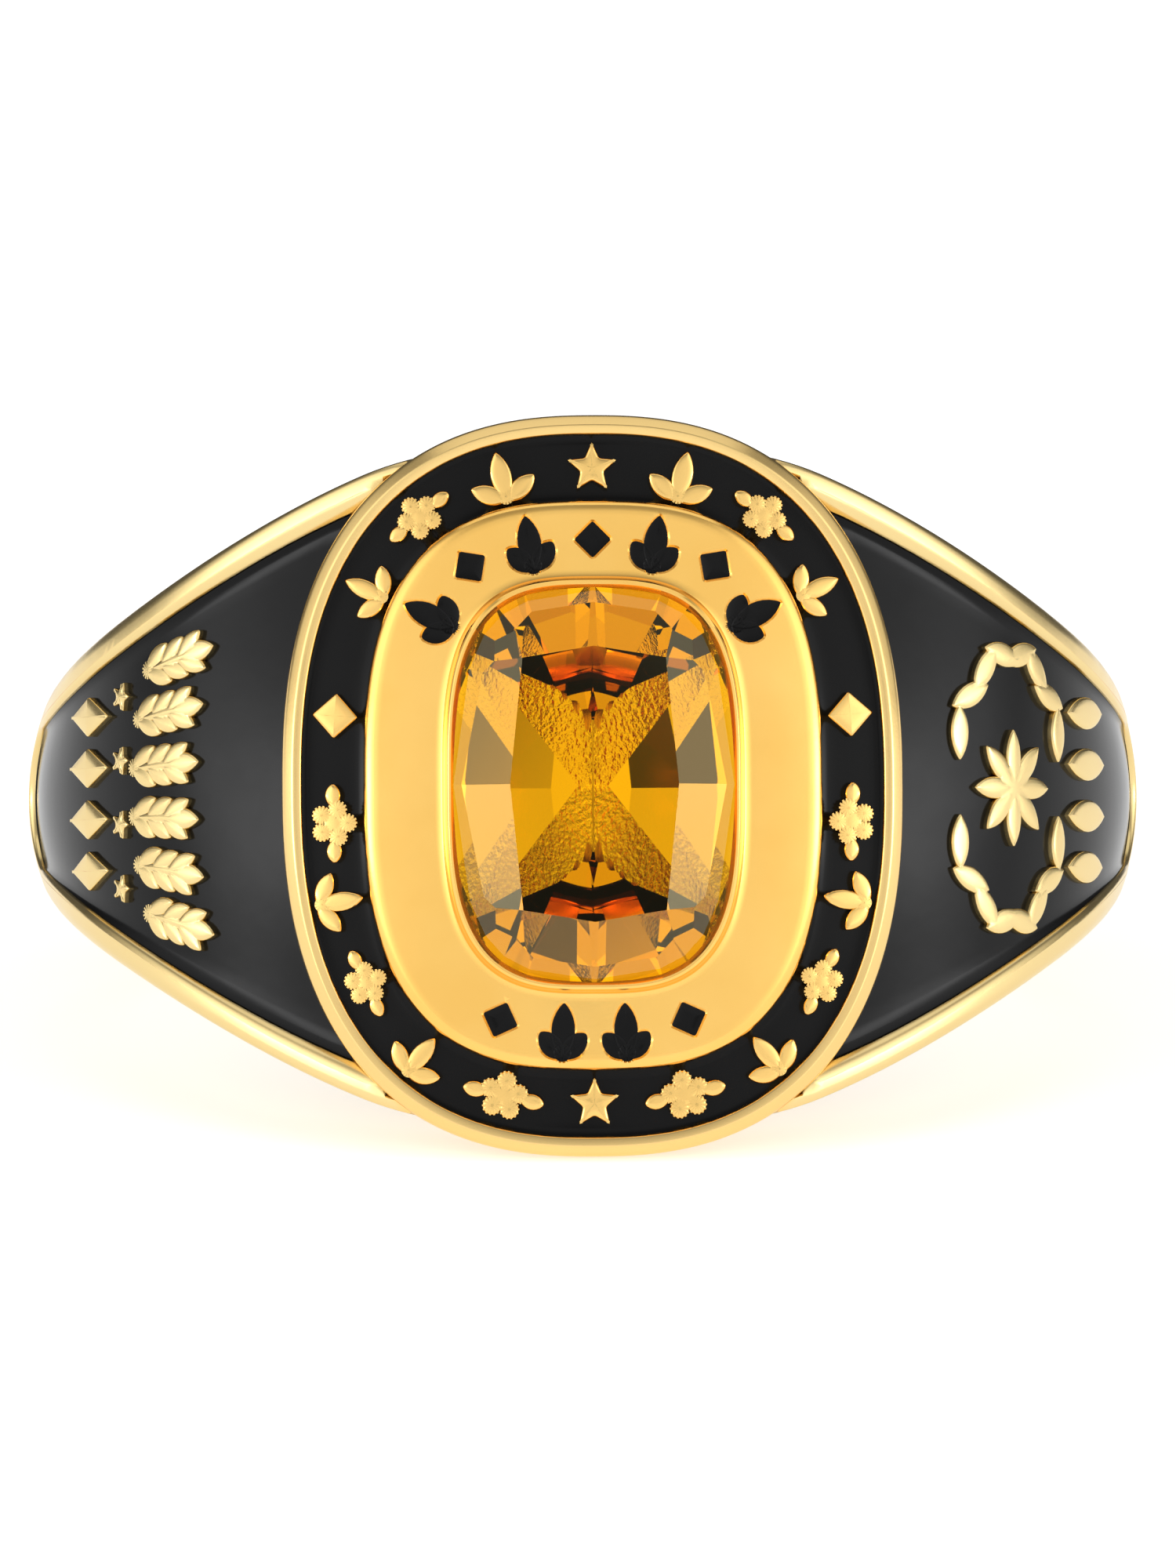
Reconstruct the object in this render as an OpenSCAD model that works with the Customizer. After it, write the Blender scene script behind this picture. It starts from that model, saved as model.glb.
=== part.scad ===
// Signet ring with a cushion-cut stone, black-filled face and black-filled shoulders.
// The ring is drawn with its face up and the finger along Y, then laid on its side as it rests.
// Lengths are millimetres and angles are degrees.

/* [Finger hole] */
// Diameter of the finger hole
bore_d = 19.8; // [19.2:0.1:20.4]

/* [Shank] */
// Thickness of the shank behind the finger
back_t = 1.6; // [1.4:0.05:1.8]
// Thickness of the shank beside the finger
side_t = 2.25; // [2.1:0.05:2.4]
// Width of the shank along the finger
shank_w = 4.6; // [4.2:0.1:5]
// Height above the finger's centre where the shoulders start to widen
flare_start = 0; // [-0.4:0.1:0.6]

/* [Shoulders] */
// How far the shoulders stop short of the end of the head
shoulder_inset = 0.25; // [0.15:0.05:0.4]
// How far the shoulders stay below the top of the rim
shoulder_drop = 0.3; // [0.2:0.05:0.4]
// Width of the rail beside a panel, where the shoulders start to widen
rail_tail_w = 0.85; // [0.75:0.05:0.95]
// Width of the same rail where it meets the head
rail_head_w = 0.75; // [0.65:0.05:0.9]
// Height above the finger's centre where a panel's round end begins
panel_nose = 1.8; // [1.5:0.1:2.2]
// Depth of a panel's metal floor under the rails
panel_depth = 0.45; // [0.4:0.05:0.55]
// Depth of the black fill's surface under the rails
panel_fill_drop = 0.2; // [0.15:0.05:0.25]

/* [Head] */
// Width of the head across the finger
head_w = 13.25; // [12.9:0.05:13.6]
// Length of the head along the finger
head_l = 15.8; // [15.4:0.1:16.2]
// Squareness of the head's oval, 2 being an ellipse
head_n = 2.45; // [2.3:0.05:2.6]
// Height of the rim above the finger hole
rim_rise = 2.9; // [2.7:0.1:3.1]
// Width of the rim
rim_w = 0.43; // [0.38:0.01:0.5]
// Height of the head's upright wall at its two ends
skirt_h = 0.9; // [0.8:0.05:1.1]
// Radius of the face, which curves round the finger
dome_r = 24; // [22:1:28]

/* [Channel] */
// Width of the black channel beside the plate
channel_side_w = 1.31; // [1.2:0.01:1.4]
// Width of the black channel at the ends of the plate
channel_end_w = 1.41; // [1.3:0.01:1.5]
// Depth of the channel's metal floor under the rim
channel_depth = 0.7; // [0.6:0.05:0.8]
// Depth of the black fill's surface under the rim
channel_fill_drop = 0.35; // [0.3:0.05:0.45]

/* [Plate] */
// Height of the plate above the rim
plate_rise = 0.3; // [0.2:0.05:0.4]
// Squareness of the plate's oval
plate_n = 2.8; // [2.6:0.05:3]
// Depth of the marks cut into the plate
mark_depth = 0.3; // [0.25:0.05:0.35]
// Depth of the black fill's surface in the marks
mark_fill_drop = 0.04; // [0.02:0.01:0.08]
// Size of the marks, from the lip towards the channel
mark_size = 1.2; // [1.1:0.02:1.26]

/* [Stone] */
// Width of the stone across the finger
stone_w = 6; // [5.8:0.05:6.1]
// Length of the stone along the finger
stone_l = 8.44; // [8.2:0.05:8.6]
// Squareness of the stone's outline
stone_n = 3.1; // [2.9:0.05:3.3]
// Height of the crown above the girdle
crown_h = 0.95; // [0.8:0.05:1.1]
// Depth of the pavilion below the girdle
pavilion_h = 2.6; // [2.4:0.05:2.7]
// Thickness of the girdle
girdle_t = 0.12; // [0.08:0.02:0.16]
// Length of the ridge at the bottom of the stone
keel_l = 2.8; // [2.4:0.1:3.2]

/* [Stone lip] */
// Width of the lip rolled over the stone
lip_w = 0.22; // [0.18:0.01:0.28]
// How far the lip covers the edge of the stone
lip_over = 0.05; // [0.03:0.01:0.07]
// Height of the lip above the plate
lip_rise = 0.28; // [0.22:0.02:0.34]
// Height of the lip above the stone's girdle
lip_t = 0.2; // [0.16:0.02:0.24]

/* [Ornament] */
// Depth of the channel's ornaments under the rim
relief_drop = 0.08; // [0.04:0.02:0.12]
// Depth of the shoulder ornaments under the rails
panel_relief_drop = 0.04; // [0.02:0.01:0.08]
// Room left between an ornament and each side of the channel
channel_margin = 0.13; // [0.1:0.01:0.18]
// Room left between a row of shoulder ornaments and each rail
panel_margin = 0.35; // [0.3:0.05:0.5]

/* [Fit] */
// Gap between the metal and each piece set in it
fit_gap = 0.03; // [0.02:0.01:0.04]

/* [Hidden] */
$fn = 96;
OVAL_POINTS = 64;

bore_r = bore_d / 2;
// Longer than the whole ring, for shapes that only have to reach past it
far = 2 * bore_d;
// Level inside the head's metal from which everything on it rises
head_root = bore_r + back_t / 2;
shank_half = shank_w / 2;

// The outside of the shank is one circle, set off centre so that it thickens to the head
back_r = bore_r + back_t;
side_r = bore_r + side_t;
outer_r = (side_r * side_r / back_r + back_r) / 2;
outer_z = outer_r - back_r;

rim_top = bore_r + rim_rise;
dome_z = rim_top - dome_r;
shoulder_top = rim_top - shoulder_drop;
plate_top = rim_top + plate_rise;
lip_top = plate_top + lip_rise;
girdle_top = lip_top - lip_t;
girdle_bottom = girdle_top - girdle_t;

head_half = [head_w / 2, head_l / 2];
channel_half = head_half - [rim_w, rim_w];
plate_half = channel_half - [channel_side_w, channel_end_w];
stone_half = [stone_w / 2, stone_l / 2];
opening_half = stone_half - [lip_over, lip_over];
lip_half = opening_half + [lip_w, lip_w];

// Radius of an arc that starts upright and moves sideways by dy over the height dh
function arc_r(dh, dy) = (dh * dh + dy * dy) / (2 * dy);
shoulder_half = head_half[1] - shoulder_inset;
shoulder_flare_r = arc_r(shoulder_top - flare_start, shoulder_half - shank_half);
skirt_z = rim_top - skirt_h;
head_flare_r = arc_r(skirt_z - flare_start, head_half[1] - shank_half);

// The sides of a panel are arcs too, and a half circle joins them at the tail
panel_half = shank_half - rail_tail_w;
panel_r = arc_r(shoulder_top - flare_start, shoulder_half - rail_head_w - panel_half);
function panel_half_at(z, gap) =
    panel_half + panel_r - sqrt(pow(panel_r + gap, 2) - pow(z - flare_start, 2));

// The ring rests on the end of the head's wall and on the back of the shank
rest_tilt = atan((head_half[1] - shank_half) / (skirt_z + back_r));

// Points of an oval |x/a|^n + |y/b|^n = 1, by the angle seen from its centre
function oval_r(half, n, a) =
    pow(pow(abs(cos(a)) / half[0], n) + pow(abs(sin(a)) / half[1], n), -1 / n);
function oval_point(half, n, a) = oval_r(half, n, a) * [cos(a), sin(a)];

// Direction that an oval faces at one of its points
function oval_facing(half, n, p) =
    atan2(sign(p[1]) * pow(abs(p[1]) / half[1], n - 1) / half[1],
          sign(p[0]) * pow(abs(p[0]) / half[0], n - 1) / half[0]);

// Point of an oval whose outward direction is the angle a
function touch_share(size, n, part) = sign(part) * pow(pow(size, n) * abs(part), 1 / (n - 1));
function touch_scale(half, n, v) =
    pow(pow(abs(v[0]) / half[0], n) + pow(abs(v[1]) / half[1], n), -1 / n);
function touch_raw(half, n, a) =
    [touch_share(half[0], n, cos(a)), touch_share(half[1], n, sin(a))];
function touch_point(half, n, a) =
    let (v = touch_raw(half, n, a)) v * touch_scale(half, n, v);

module oval(half, n) {
    polygon([for (i = [0 : OVAL_POINTS - 1]) oval_point(half, n, 360 * i / OVAL_POINTS)]);
}

module oval_prism(half, n, low, high) {
    translate([0, 0, low])
        linear_extrude(height = high - low)
            oval(half, n);
}

// A round bar along the finger
module finger_bar(r, z) {
    translate([0, 0, z])
        rotate([90, 0, 0])
            cylinder(r = r, h = far, center = true);
}

// A drawing of the ring's side view, with Y to its right, carried across the finger
module across(reach) {
    rotate([90, 0, 90])
        linear_extrude(height = reach)
            children();
}

// The side view of the shank, widening upwards along an arc
module flare(r) {
    reach = shank_half + r;
    translate([-shank_half, -far / 2])
        square([2 * shank_half, far / 2 + flare_start]);
    difference() {
        translate([-reach, flare_start])
            square([2 * reach, lip_top - flare_start]);
        for (side = [-1, 1])
            translate([side * reach, flare_start])
                circle(r);
    }
}

module flare_body(r) {
    translate([-far / 2, 0, 0])
        across(far)
            flare(r);
}

// The side view of a shoulder panel, shrunk by a gap
module panel_outline(gap) {
    reach = panel_half + panel_r;
    translate([0, panel_nose])
        circle(panel_half_at(panel_nose, gap));
    difference() {
        translate([-reach, panel_nose])
            square([2 * reach, rim_top - panel_nose]);
        for (side = [-1, 1])
            translate([side * reach, flare_start])
                circle(panel_r + gap);
    }
}

// Everything between two levels over one shoulder panel, up to the head's wall
module panel_layer(side, low_r, high_r, gap) {
    mirror([side < 0 ? 1 : 0, 0, 0])
        difference() {
            intersection() {
                across(far / 2)
                    panel_outline(gap);
                finger_bar(high_r, outer_z);
            }
            finger_bar(low_r, outer_z);
            oval_prism(head_half + [gap, gap], head_n, 0, far);
        }
}

// A pointed leaf that stands on the origin, grown by a gap all round
module leaf(length, width, gap) {
    half = width / 2 + gap;
    r = arc_r(length / 2 + gap, half);
    translate([0, length / 2])
        intersection() {
            translate([r - half, 0])
                circle(r);
            translate([half - r, 0])
                circle(r);
        }
}

// Three leaves that rise from one point, over a small round base
module sprig(size, spread, side_share, gap) {
    translate([0, -size / 2]) {
        leaf(size, 0.42 * size, gap);
        for (side = [-1, 1])
            rotate(side * spread)
                leaf(side_share * size, 0.38 * size, gap);
        translate([0, 0.1 * size])
            circle(0.16 * size + gap, $fn = 24);
    }
}

SPRAY_PAIRS = 3;
SPRAY_SPREAD = 27;

// A long stem with a round foot, a leaf at its top and pairs of leaves up its sides
module spray(size, gap) {
    translate([0, -size / 2]) {
        leaf(0.86 * size, 0.12 * size, gap);
        translate([0, 0.05 * size])
            circle(0.09 * size + gap, $fn = 24);
        translate([0, 0.52 * size])
            leaf(0.48 * size, 0.21 * size, gap);
        for (step = [0 : SPRAY_PAIRS - 1], side = [-1, 1])
            translate([0, 0.24 * step * size])
                rotate(side * SPRAY_SPREAD)
                    leaf(0.42 * size, 0.18 * size, gap);
    }
}

PETALS = 5;

// Round petals about a centre, with a leaf lying on each side
module blossom(size, gap) {
    circle(0.24 * size + gap, $fn = 24);
    for (i = [0 : PETALS - 1])
        rotate(90 + 360 * i / PETALS)
            translate([0.29 * size, 0])
                circle(0.2 * size + gap, $fn = 24);
    for (side = [-1, 1])
        rotate(-90 * side)
            translate([0, 0.32 * size])
                leaf(0.5 * size, 0.32 * size, gap);
}

STAR_TIPS = 5;
STAR_WAIST = 0.46;

// A star with straight sides
module star(size, gap) {
    tip = size / 2 + 2 * gap;
    waist = STAR_WAIST * size / 2 + gap;
    polygon([for (i = [0 : 2 * STAR_TIPS - 1])
        let (a = 90 + 180 * i / STAR_TIPS)
        (i % 2 == 0 ? tip : waist) * [cos(a), sin(a)]]);
}

// A square on its corner, stretched by a share
module lozenge(size, stretch, gap) {
    a = size / 2 + 1.5 * gap;
    b = stretch * size / 2 + 1.5 * gap;
    polygon([[a, 0], [0, b], [-a, 0], [0, -b]]);
}

WIDE_SPREAD = 58;
WIDE_SHARE = 0.76;
MARK_SPREAD = 42;
MARK_SHARE = 0.62;

// One ornament by its kind: 0 wide sprig, 1 blossom, 2 star, 3 lozenge, 4 upright sprig
module ornament(kind, size, gap) {
    if (kind == 0) sprig(size, WIDE_SPREAD, WIDE_SHARE, gap);
    if (kind == 1) blossom(size, gap);
    if (kind == 2) star(size, gap);
    if (kind == 3) lozenge(size, 1, gap);
    if (kind == 4) sprig(size, MARK_SPREAD, MARK_SHARE, gap);
}

// Places an ornament midway between two ovals, with its top facing outwards
module midway(outer, outer_n, inner, inner_n, a) {
    p = oval_point(outer, outer_n, a);
    q = oval_point(inner, inner_n, a);
    translate((p + q) / 2)
        rotate((oval_facing(outer, outer_n, p) + oval_facing(inner, inner_n, q)) / 2 - 90)
            children();
}

module in_channel(a) {
    midway(channel_half, head_n, plate_half, plate_n, a)
        children();
}

// Size of the channel's ornament at an angle: the channel's width there, less its margins
function channel_size(a) =
    let (p = oval_point(channel_half, head_n, a),
         q = oval_point(plate_half, plate_n, a),
         turn = (oval_facing(channel_half, head_n, p) + oval_facing(plate_half, plate_n, q)) / 2)
    norm(p - q) * cos(turn - a) - 2 * channel_margin;

module on_plate(a) {
    midway(plate_half, plate_n, lip_half, stone_n, a)
        children();
}

// Places round the channel, as angles seen from the face's centre
LOZENGE_ANGLE = 15.4;
LOZENGE_SHARE = 0.96;
TOP_KINDS = [0, 1, 0, 2, 0, 1, 0];
TOP_FIRST = 41;
BOTTOM_KINDS = [1, 0, 1, 0, 1, 2, 1, 0, 1, 0, 1];
BOTTOM_FIRST = -172;

// The ornaments of the channel: seven above, eleven below and two lozenges between them
module channel_ornaments(gap) {
    for (i = [0 : len(TOP_KINDS) - 1]) {
        a = TOP_FIRST + (180 - 2 * TOP_FIRST) * i / (len(TOP_KINDS) - 1);
        in_channel(a)
            ornament(TOP_KINDS[i], channel_size(a), gap);
    }
    for (i = [0 : len(BOTTOM_KINDS) - 1]) {
        a = BOTTOM_FIRST - (180 + 2 * BOTTOM_FIRST) * i / (len(BOTTOM_KINDS) - 1);
        in_channel(a)
            rotate(180)
                ornament(BOTTOM_KINDS[i], channel_size(a), gap);
    }
    for (a = [LOZENGE_ANGLE, 180 - LOZENGE_ANGLE])
        in_channel(a)
            ornament(3, LOZENGE_SHARE * channel_size(a), gap);
}

// Depth of the ornaments' roots, as a share of the channel's depth
RELIEF_ROOT = 1.2;

// The same ornaments as solids, rooted a little under the channel's floor
module channel_relief(gap, drop) {
    difference() {
        intersection() {
            translate([0, 0, head_root])
                linear_extrude(height = far / 2)
                    channel_ornaments(gap);
            finger_bar(dome_r - drop, dome_z);
        }
        finger_bar(dome_r - RELIEF_ROOT * channel_depth, dome_z);
    }
}

// Turn about the face's centre from one mark to the next
MARK_STEP = 14.6;
TOP_MARKS = [4, 3, 4, 3, 4, 3, 4];
BOTTOM_MARKS = [3, 4, 4, 3];
MARK_SHARES = [1, 1, 1, 0.66, 1];

// The marks cut into the plate: seven above the stone and four below it
module plate_marks(gap) {
    for (i = [0 : len(TOP_MARKS) - 1])
        on_plate(90 + MARK_STEP * (i - (len(TOP_MARKS) - 1) / 2))
            ornament(TOP_MARKS[i], MARK_SHARES[TOP_MARKS[i]] * mark_size, gap);
    for (i = [0 : len(BOTTOM_MARKS) - 1])
        on_plate(MARK_STEP * (i - (len(BOTTOM_MARKS) - 1) / 2) - 90)
            rotate(180)
                ornament(BOTTOM_MARKS[i], MARK_SHARES[BOTTOM_MARKS[i]] * mark_size, gap);
}

// Marks from a depth under the plate's surface up to another level
module mark_layer(gap, depth, high_r) {
    intersection() {
        difference() {
            translate([0, 0, head_root])
                linear_extrude(height = far / 2)
                    plate_marks(gap);
            finger_bar(dome_r + plate_rise - depth, dome_z);
        }
        finger_bar(high_r, dome_z);
    }
}

// Stands an outline on the shank's outside, turned by an angle towards +X and moved along Y
module on_shoulder(a, y) {
    translate([0, 0, outer_z])
        rotate([0, a, 0])
            translate([0, y, outer_r - 2 * panel_depth])
                linear_extrude(height = 3 * panel_depth)
                    children();
}

// Half the length that a row of ornaments has between the rails, at an angle from the face
function row_half(a) = panel_half_at(outer_z + outer_r * cos(a), 0) - panel_margin;

// Rows of the left shoulder, as angles from the face's middle. Sizes are shares of the step
// from one ornament of a row to the next.
ARCH_ROW = 49.4;
ARCH_BOW = 3.2;
ARCH_COUNT = 6;
ARCH_TURN = 16;
ARCH_SIZE = 1.96;
STAR_ROW = 56.8;
STAR_COUNT = 4;
STAR_SIZE = 0.5;
BEAD_ROW = 63.6;
BEAD_COUNT = 4;
BEAD_SIZE = 1.7;
BEAD_STRETCH = 0.46;

// Left shoulder: a row of sprays, a row of stars and a row of lozenges
module left_ornaments(gap) {
    arch_half = row_half(ARCH_ROW);
    for (i = [0 : ARCH_COUNT - 1]) {
        share = (2 * i + 1) / ARCH_COUNT - 1;
        on_shoulder(ARCH_ROW - ARCH_BOW * share * share, arch_half * share)
            rotate(90 - ARCH_TURN * share)
                spray(2 * ARCH_SIZE * arch_half / ARCH_COUNT, gap);
    }
    star_half = row_half(STAR_ROW);
    for (i = [0 : STAR_COUNT - 1])
        on_shoulder(STAR_ROW, star_half * ((2 * i + 1) / STAR_COUNT - 1))
            rotate(90)
                star(2 * STAR_SIZE * star_half / STAR_COUNT, gap);
    bead_half = row_half(BEAD_ROW);
    for (i = [0 : BEAD_COUNT - 1])
        on_shoulder(BEAD_ROW, bead_half * ((2 * i + 1) / BEAD_COUNT - 1))
            lozenge(2 * BEAD_SIZE * bead_half / BEAD_COUNT, BEAD_STRETCH, gap);
}

// Wreath and trail of the right shoulder. Sizes are shares of half the length between the rails.
WREATH_ROW = 49;
WREATH_HALF = 8.8;
WREATH_REACH = 0.84;
WREATH_LEAVES = 8;
WREATH_FIRST = 24;
WREATH_LEAN = 24;
LEAF_LENGTH = 0.36;
LEAF_WIDTH = 0.15;
ROSETTE_R = 0.16;
RAY_COUNT = 8;
RAY_LENGTH = 0.37;
RAY_WIDTH = 0.14;
TRAIL_ROW = 63.6;
TRAIL_COUNT = 4;
TRAIL_LENGTH = 0.86;
TRAIL_WIDTH = 0.32;

// Right shoulder: a wreath of leaves round a rayed rosette, and a row of leaves
module right_ornaments(gap) {
    wreath_half = row_half(WREATH_ROW);
    for (side = [-1, 1])
        for (i = [0 : WREATH_LEAVES - 1]) {
            a = WREATH_FIRST + (180 - 2 * WREATH_FIRST) * i / (WREATH_LEAVES - 1);
            lean = i % 2 == 0 ? WREATH_LEAN : -WREATH_LEAN;
            on_shoulder(WREATH_ROW - WREATH_HALF * cos(a),
                        side * WREATH_REACH * wreath_half * sin(a))
                rotate(side * (90 - a + lean) - 90)
                    translate([0, -LEAF_LENGTH * wreath_half / 2])
                        leaf(LEAF_LENGTH * wreath_half, LEAF_WIDTH * wreath_half, gap);
        }
    on_shoulder(WREATH_ROW, 0) {
        circle(ROSETTE_R * wreath_half + gap, $fn = 24);
        for (i = [0 : RAY_COUNT - 1])
            rotate(360 * i / RAY_COUNT)
                leaf(RAY_LENGTH * wreath_half, RAY_WIDTH * wreath_half, gap);
    }
    trail_half = row_half(TRAIL_ROW);
    for (i = [0 : TRAIL_COUNT - 1])
        on_shoulder(TRAIL_ROW, trail_half * ((2 * i + 1) / TRAIL_COUNT - 1))
            rotate(-90)
                translate([0, -TRAIL_LENGTH * trail_half / 2])
                    leaf(TRAIL_LENGTH * trail_half, TRAIL_WIDTH * trail_half, gap);
}

// Shoulder ornaments up to a level
module panel_relief(side, gap, high_r) {
    intersection() {
        if (side < 0)
            mirror([1, 0, 0])
                left_ornaments(gap);
        else
            right_ornaments(gap);
        finger_bar(high_r, outer_z);
    }
}

// The cut stone: every facet is a flat that faces a way, at a slope from level
TABLE_CORNER = [0.507, 0.635];
TABLE_FACETS = [[5.8, 30], [33, 36], [80.7, 28]];
CROWN_EDGE = [8, 24, 42, 62, 81];
CROWN_EDGE_SLOPE = 45;
PAVILION_EDGE = [11, 31, 54, 78];
PAVILION_EDGE_SLOPE = 50;
PAVILION_MAIN = [0, 27, 52, 90];
MAIN_SHARE = 0.95;
table_z = girdle_top + crown_h;
keel_z = girdle_bottom - pavilion_h;

// The facings that a facet of the first quarter has once it is mirrored both ways
function mirrored(a) = a == 0 ? [0, 180] : a == 90 ? [90, 270] : [a, 180 - a, 180 + a, 360 - a];

// A point of the first quarter, moved to the quarter that a facing points to
function toward(a, x, y, z) = [sign(cos(a)) * x, sign(sin(a)) * y, z];

// Slope of a main pavilion facet, which runs from the keel almost to the girdle
function main_slope(a) =
    atan(MAIN_SHARE * pavilion_h
         / ((touch_point(stone_half, stone_n, a) - [0, keel_l / 2]) * [cos(a), sin(a)]));

function edge_facets(facings, slope, z) =
    [for (f = facings) for (a = mirrored(f))
        let (p = touch_point(stone_half, stone_n, a)) [[p[0], p[1], z], a, slope]];

facets = concat(
    [for (t = TABLE_FACETS) for (a = mirrored(t[0]))
        [toward(a, TABLE_CORNER[0] * stone_half[0], TABLE_CORNER[1] * stone_half[1], table_z),
         a, t[1]]],
    edge_facets(CROWN_EDGE, CROWN_EDGE_SLOPE, girdle_top),
    edge_facets(PAVILION_EDGE, 180 - PAVILION_EDGE_SLOPE, girdle_bottom),
    [for (f = PAVILION_MAIN) for (a = mirrored(f))
        [toward(a, 0, keel_l / 2, keel_z), a, 180 - main_slope(f)]]);

// Everything under one facet, moved outwards by a gap
module under(facet, gap) {
    translate(facet[0])
        rotate([0, facet[2], facet[1]])
            translate([-far / 2, -far / 2, gap - far])
                cube(far);
}

// The cushion-cut stone, grown by a gap on every face
module cut_stone(gap) {
    intersection() {
        oval_prism(stone_half + [gap, gap], stone_n, keel_z - gap, table_z + gap);
        intersection_for (facet = facets)
            under(facet, gap);
    }
}

// Lays the ring on its side, with its face forwards and tipped up a little
module at_rest() {
    rotate([90 - rest_tilt, 0, 0])
        children();
}

// The shank, its two shoulders and the block of the head, before anything is cut
module blank() {
    intersection() {
        finger_bar(outer_r, outer_z);
        flare_body(shoulder_flare_r);
        finger_bar(dome_r, dome_z - shoulder_drop);
    }
    intersection() {
        oval_prism(head_half, head_n, 0, rim_top);
        flare_body(head_flare_r);
        finger_bar(dome_r, dome_z);
    }
}

// The hollows that the black fill lies in
module hollows() {
    for (side = [-1, 1])
        panel_layer(side, outer_r - panel_depth, far / 2, 0);
    difference() {
        oval_prism(channel_half, head_n, bore_r, far / 2);
        finger_bar(dome_r - channel_depth, dome_z);
    }
}

// The plate and the lip round the stone, which stand in the middle of the channel
module plate() {
    intersection() {
        oval_prism(plate_half, plate_n, head_root, lip_top);
        finger_bar(dome_r + plate_rise, dome_z);
    }
    oval_prism(lip_half, stone_n, head_root, lip_top);
}

module ring_casting() {
    color("goldenrod")
        at_rest()
            difference() {
                union() {
                    difference() {
                        blank();
                        hollows();
                    }
                    plate();
                    channel_relief(0, relief_drop);
                    for (side = [-1, 1])
                        panel_relief(side, 0, outer_r - panel_relief_drop);
                }
                mark_layer(0, mark_depth, far);
                cut_stone(fit_gap);
                oval_prism(opening_half, stone_n, girdle_top, far / 2);
                finger_bar(bore_r, 0);
            }
}

// Black fill of the channel, with a hole for every ornament that rises through it
module channel_enamel() {
    color("black")
        at_rest()
            difference() {
                intersection() {
                    oval_prism(channel_half - [fit_gap, fit_gap], head_n, bore_r, rim_top);
                    finger_bar(dome_r - channel_fill_drop, dome_z);
                }
                finger_bar(dome_r - channel_depth + fit_gap, dome_z);
                oval_prism(plate_half + [fit_gap, fit_gap], plate_n, bore_r, lip_top);
                channel_relief(fit_gap, -plate_rise);
            }
}

// Black fill of one shoulder panel
module panel_enamel(side) {
    color("black")
        at_rest()
            difference() {
                panel_layer(side, outer_r - panel_depth + fit_gap, outer_r - panel_fill_drop,
                            fit_gap);
                panel_relief(side, fit_gap, outer_r);
            }
}

module left_panel_enamel() {
    panel_enamel(-1);
}

module right_panel_enamel() {
    panel_enamel(1);
}

// Black fill of the marks in the plate
module plate_inlays() {
    color("black")
        at_rest()
            mark_layer(-fit_gap, mark_depth - fit_gap, dome_r + plate_rise - mark_fill_drop);
}

module stone() {
    color("gold")
        at_rest()
            cut_stone(0);
}

ring_casting();
channel_enamel();
left_panel_enamel();
right_panel_enamel();
plate_inlays();
stone();
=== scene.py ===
import math

import bmesh
import bpy
import numpy as np
from mathutils import Matrix, Vector


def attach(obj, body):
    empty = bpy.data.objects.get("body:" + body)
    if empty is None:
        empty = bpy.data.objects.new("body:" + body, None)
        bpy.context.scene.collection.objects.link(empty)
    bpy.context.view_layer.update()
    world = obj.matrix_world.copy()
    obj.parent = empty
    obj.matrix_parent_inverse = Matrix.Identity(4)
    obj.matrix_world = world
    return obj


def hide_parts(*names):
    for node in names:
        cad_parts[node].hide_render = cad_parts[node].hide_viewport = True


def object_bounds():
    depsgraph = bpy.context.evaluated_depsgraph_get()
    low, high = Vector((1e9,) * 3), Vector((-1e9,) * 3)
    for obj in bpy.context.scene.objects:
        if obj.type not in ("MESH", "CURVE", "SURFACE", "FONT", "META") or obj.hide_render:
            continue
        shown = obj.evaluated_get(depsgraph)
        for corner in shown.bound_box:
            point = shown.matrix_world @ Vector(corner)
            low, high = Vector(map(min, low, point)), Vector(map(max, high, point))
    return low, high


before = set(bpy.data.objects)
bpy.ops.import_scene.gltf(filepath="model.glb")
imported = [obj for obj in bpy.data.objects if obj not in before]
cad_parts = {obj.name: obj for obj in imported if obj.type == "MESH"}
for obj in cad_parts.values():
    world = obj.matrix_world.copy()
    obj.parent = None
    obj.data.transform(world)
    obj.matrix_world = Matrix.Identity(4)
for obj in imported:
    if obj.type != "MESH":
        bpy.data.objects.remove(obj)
cad_bounds = [list(corner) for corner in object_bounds()]


# ---- Shank and shoulders ----
# The band of the ring, cast in gold as one with everything up to the stone. It widens from the
# back of the finger to the head, and its edges are rolled over and polished by hand.

# The drawing is in millimetres: the finger lies along Y, and the face looks along Z
BORE_R = 9.9
BACK_T = 1.6
SIDE_T = 2.25
SHANK_HALF = 2.3
FLARE_START = 0.0
RIM_TOP = BORE_R + 2.9
HEAD_HALF = np.array([6.625, 7.9])
HEAD_N = 2.45
RIM_W = 0.43
CHANNEL_DEPTH = 0.7
SKIRT_H = 0.9
SHOULDER_INSET = 0.25
SHOULDER_DROP = 0.3
SHOULDER_BLEND = 0.2
DOME_R = 24.0
DOME_Z = RIM_TOP - DOME_R
FACE_CROSS_R = 120.0
CROWN = 0.54
SHOULDER_CROWN = 0.1
CROWN_FADE_START = 0.5
CROWN_FADE = 6.5
EDGE_ROLL = 0.5
BORE_ROLL = 0.3

BACK_R = BORE_R + BACK_T
SIDE_R = BORE_R + SIDE_T
OUTER_R = (SIDE_R ** 2 / BACK_R + BACK_R) / 2
OUTER_Z = OUTER_R - BACK_R


def arc_r(dh, dy):
    """Radius of an arc that starts upright and leans out by dy over a height dh."""
    return (dh * dh + dy * dy) / (2 * dy)


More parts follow.
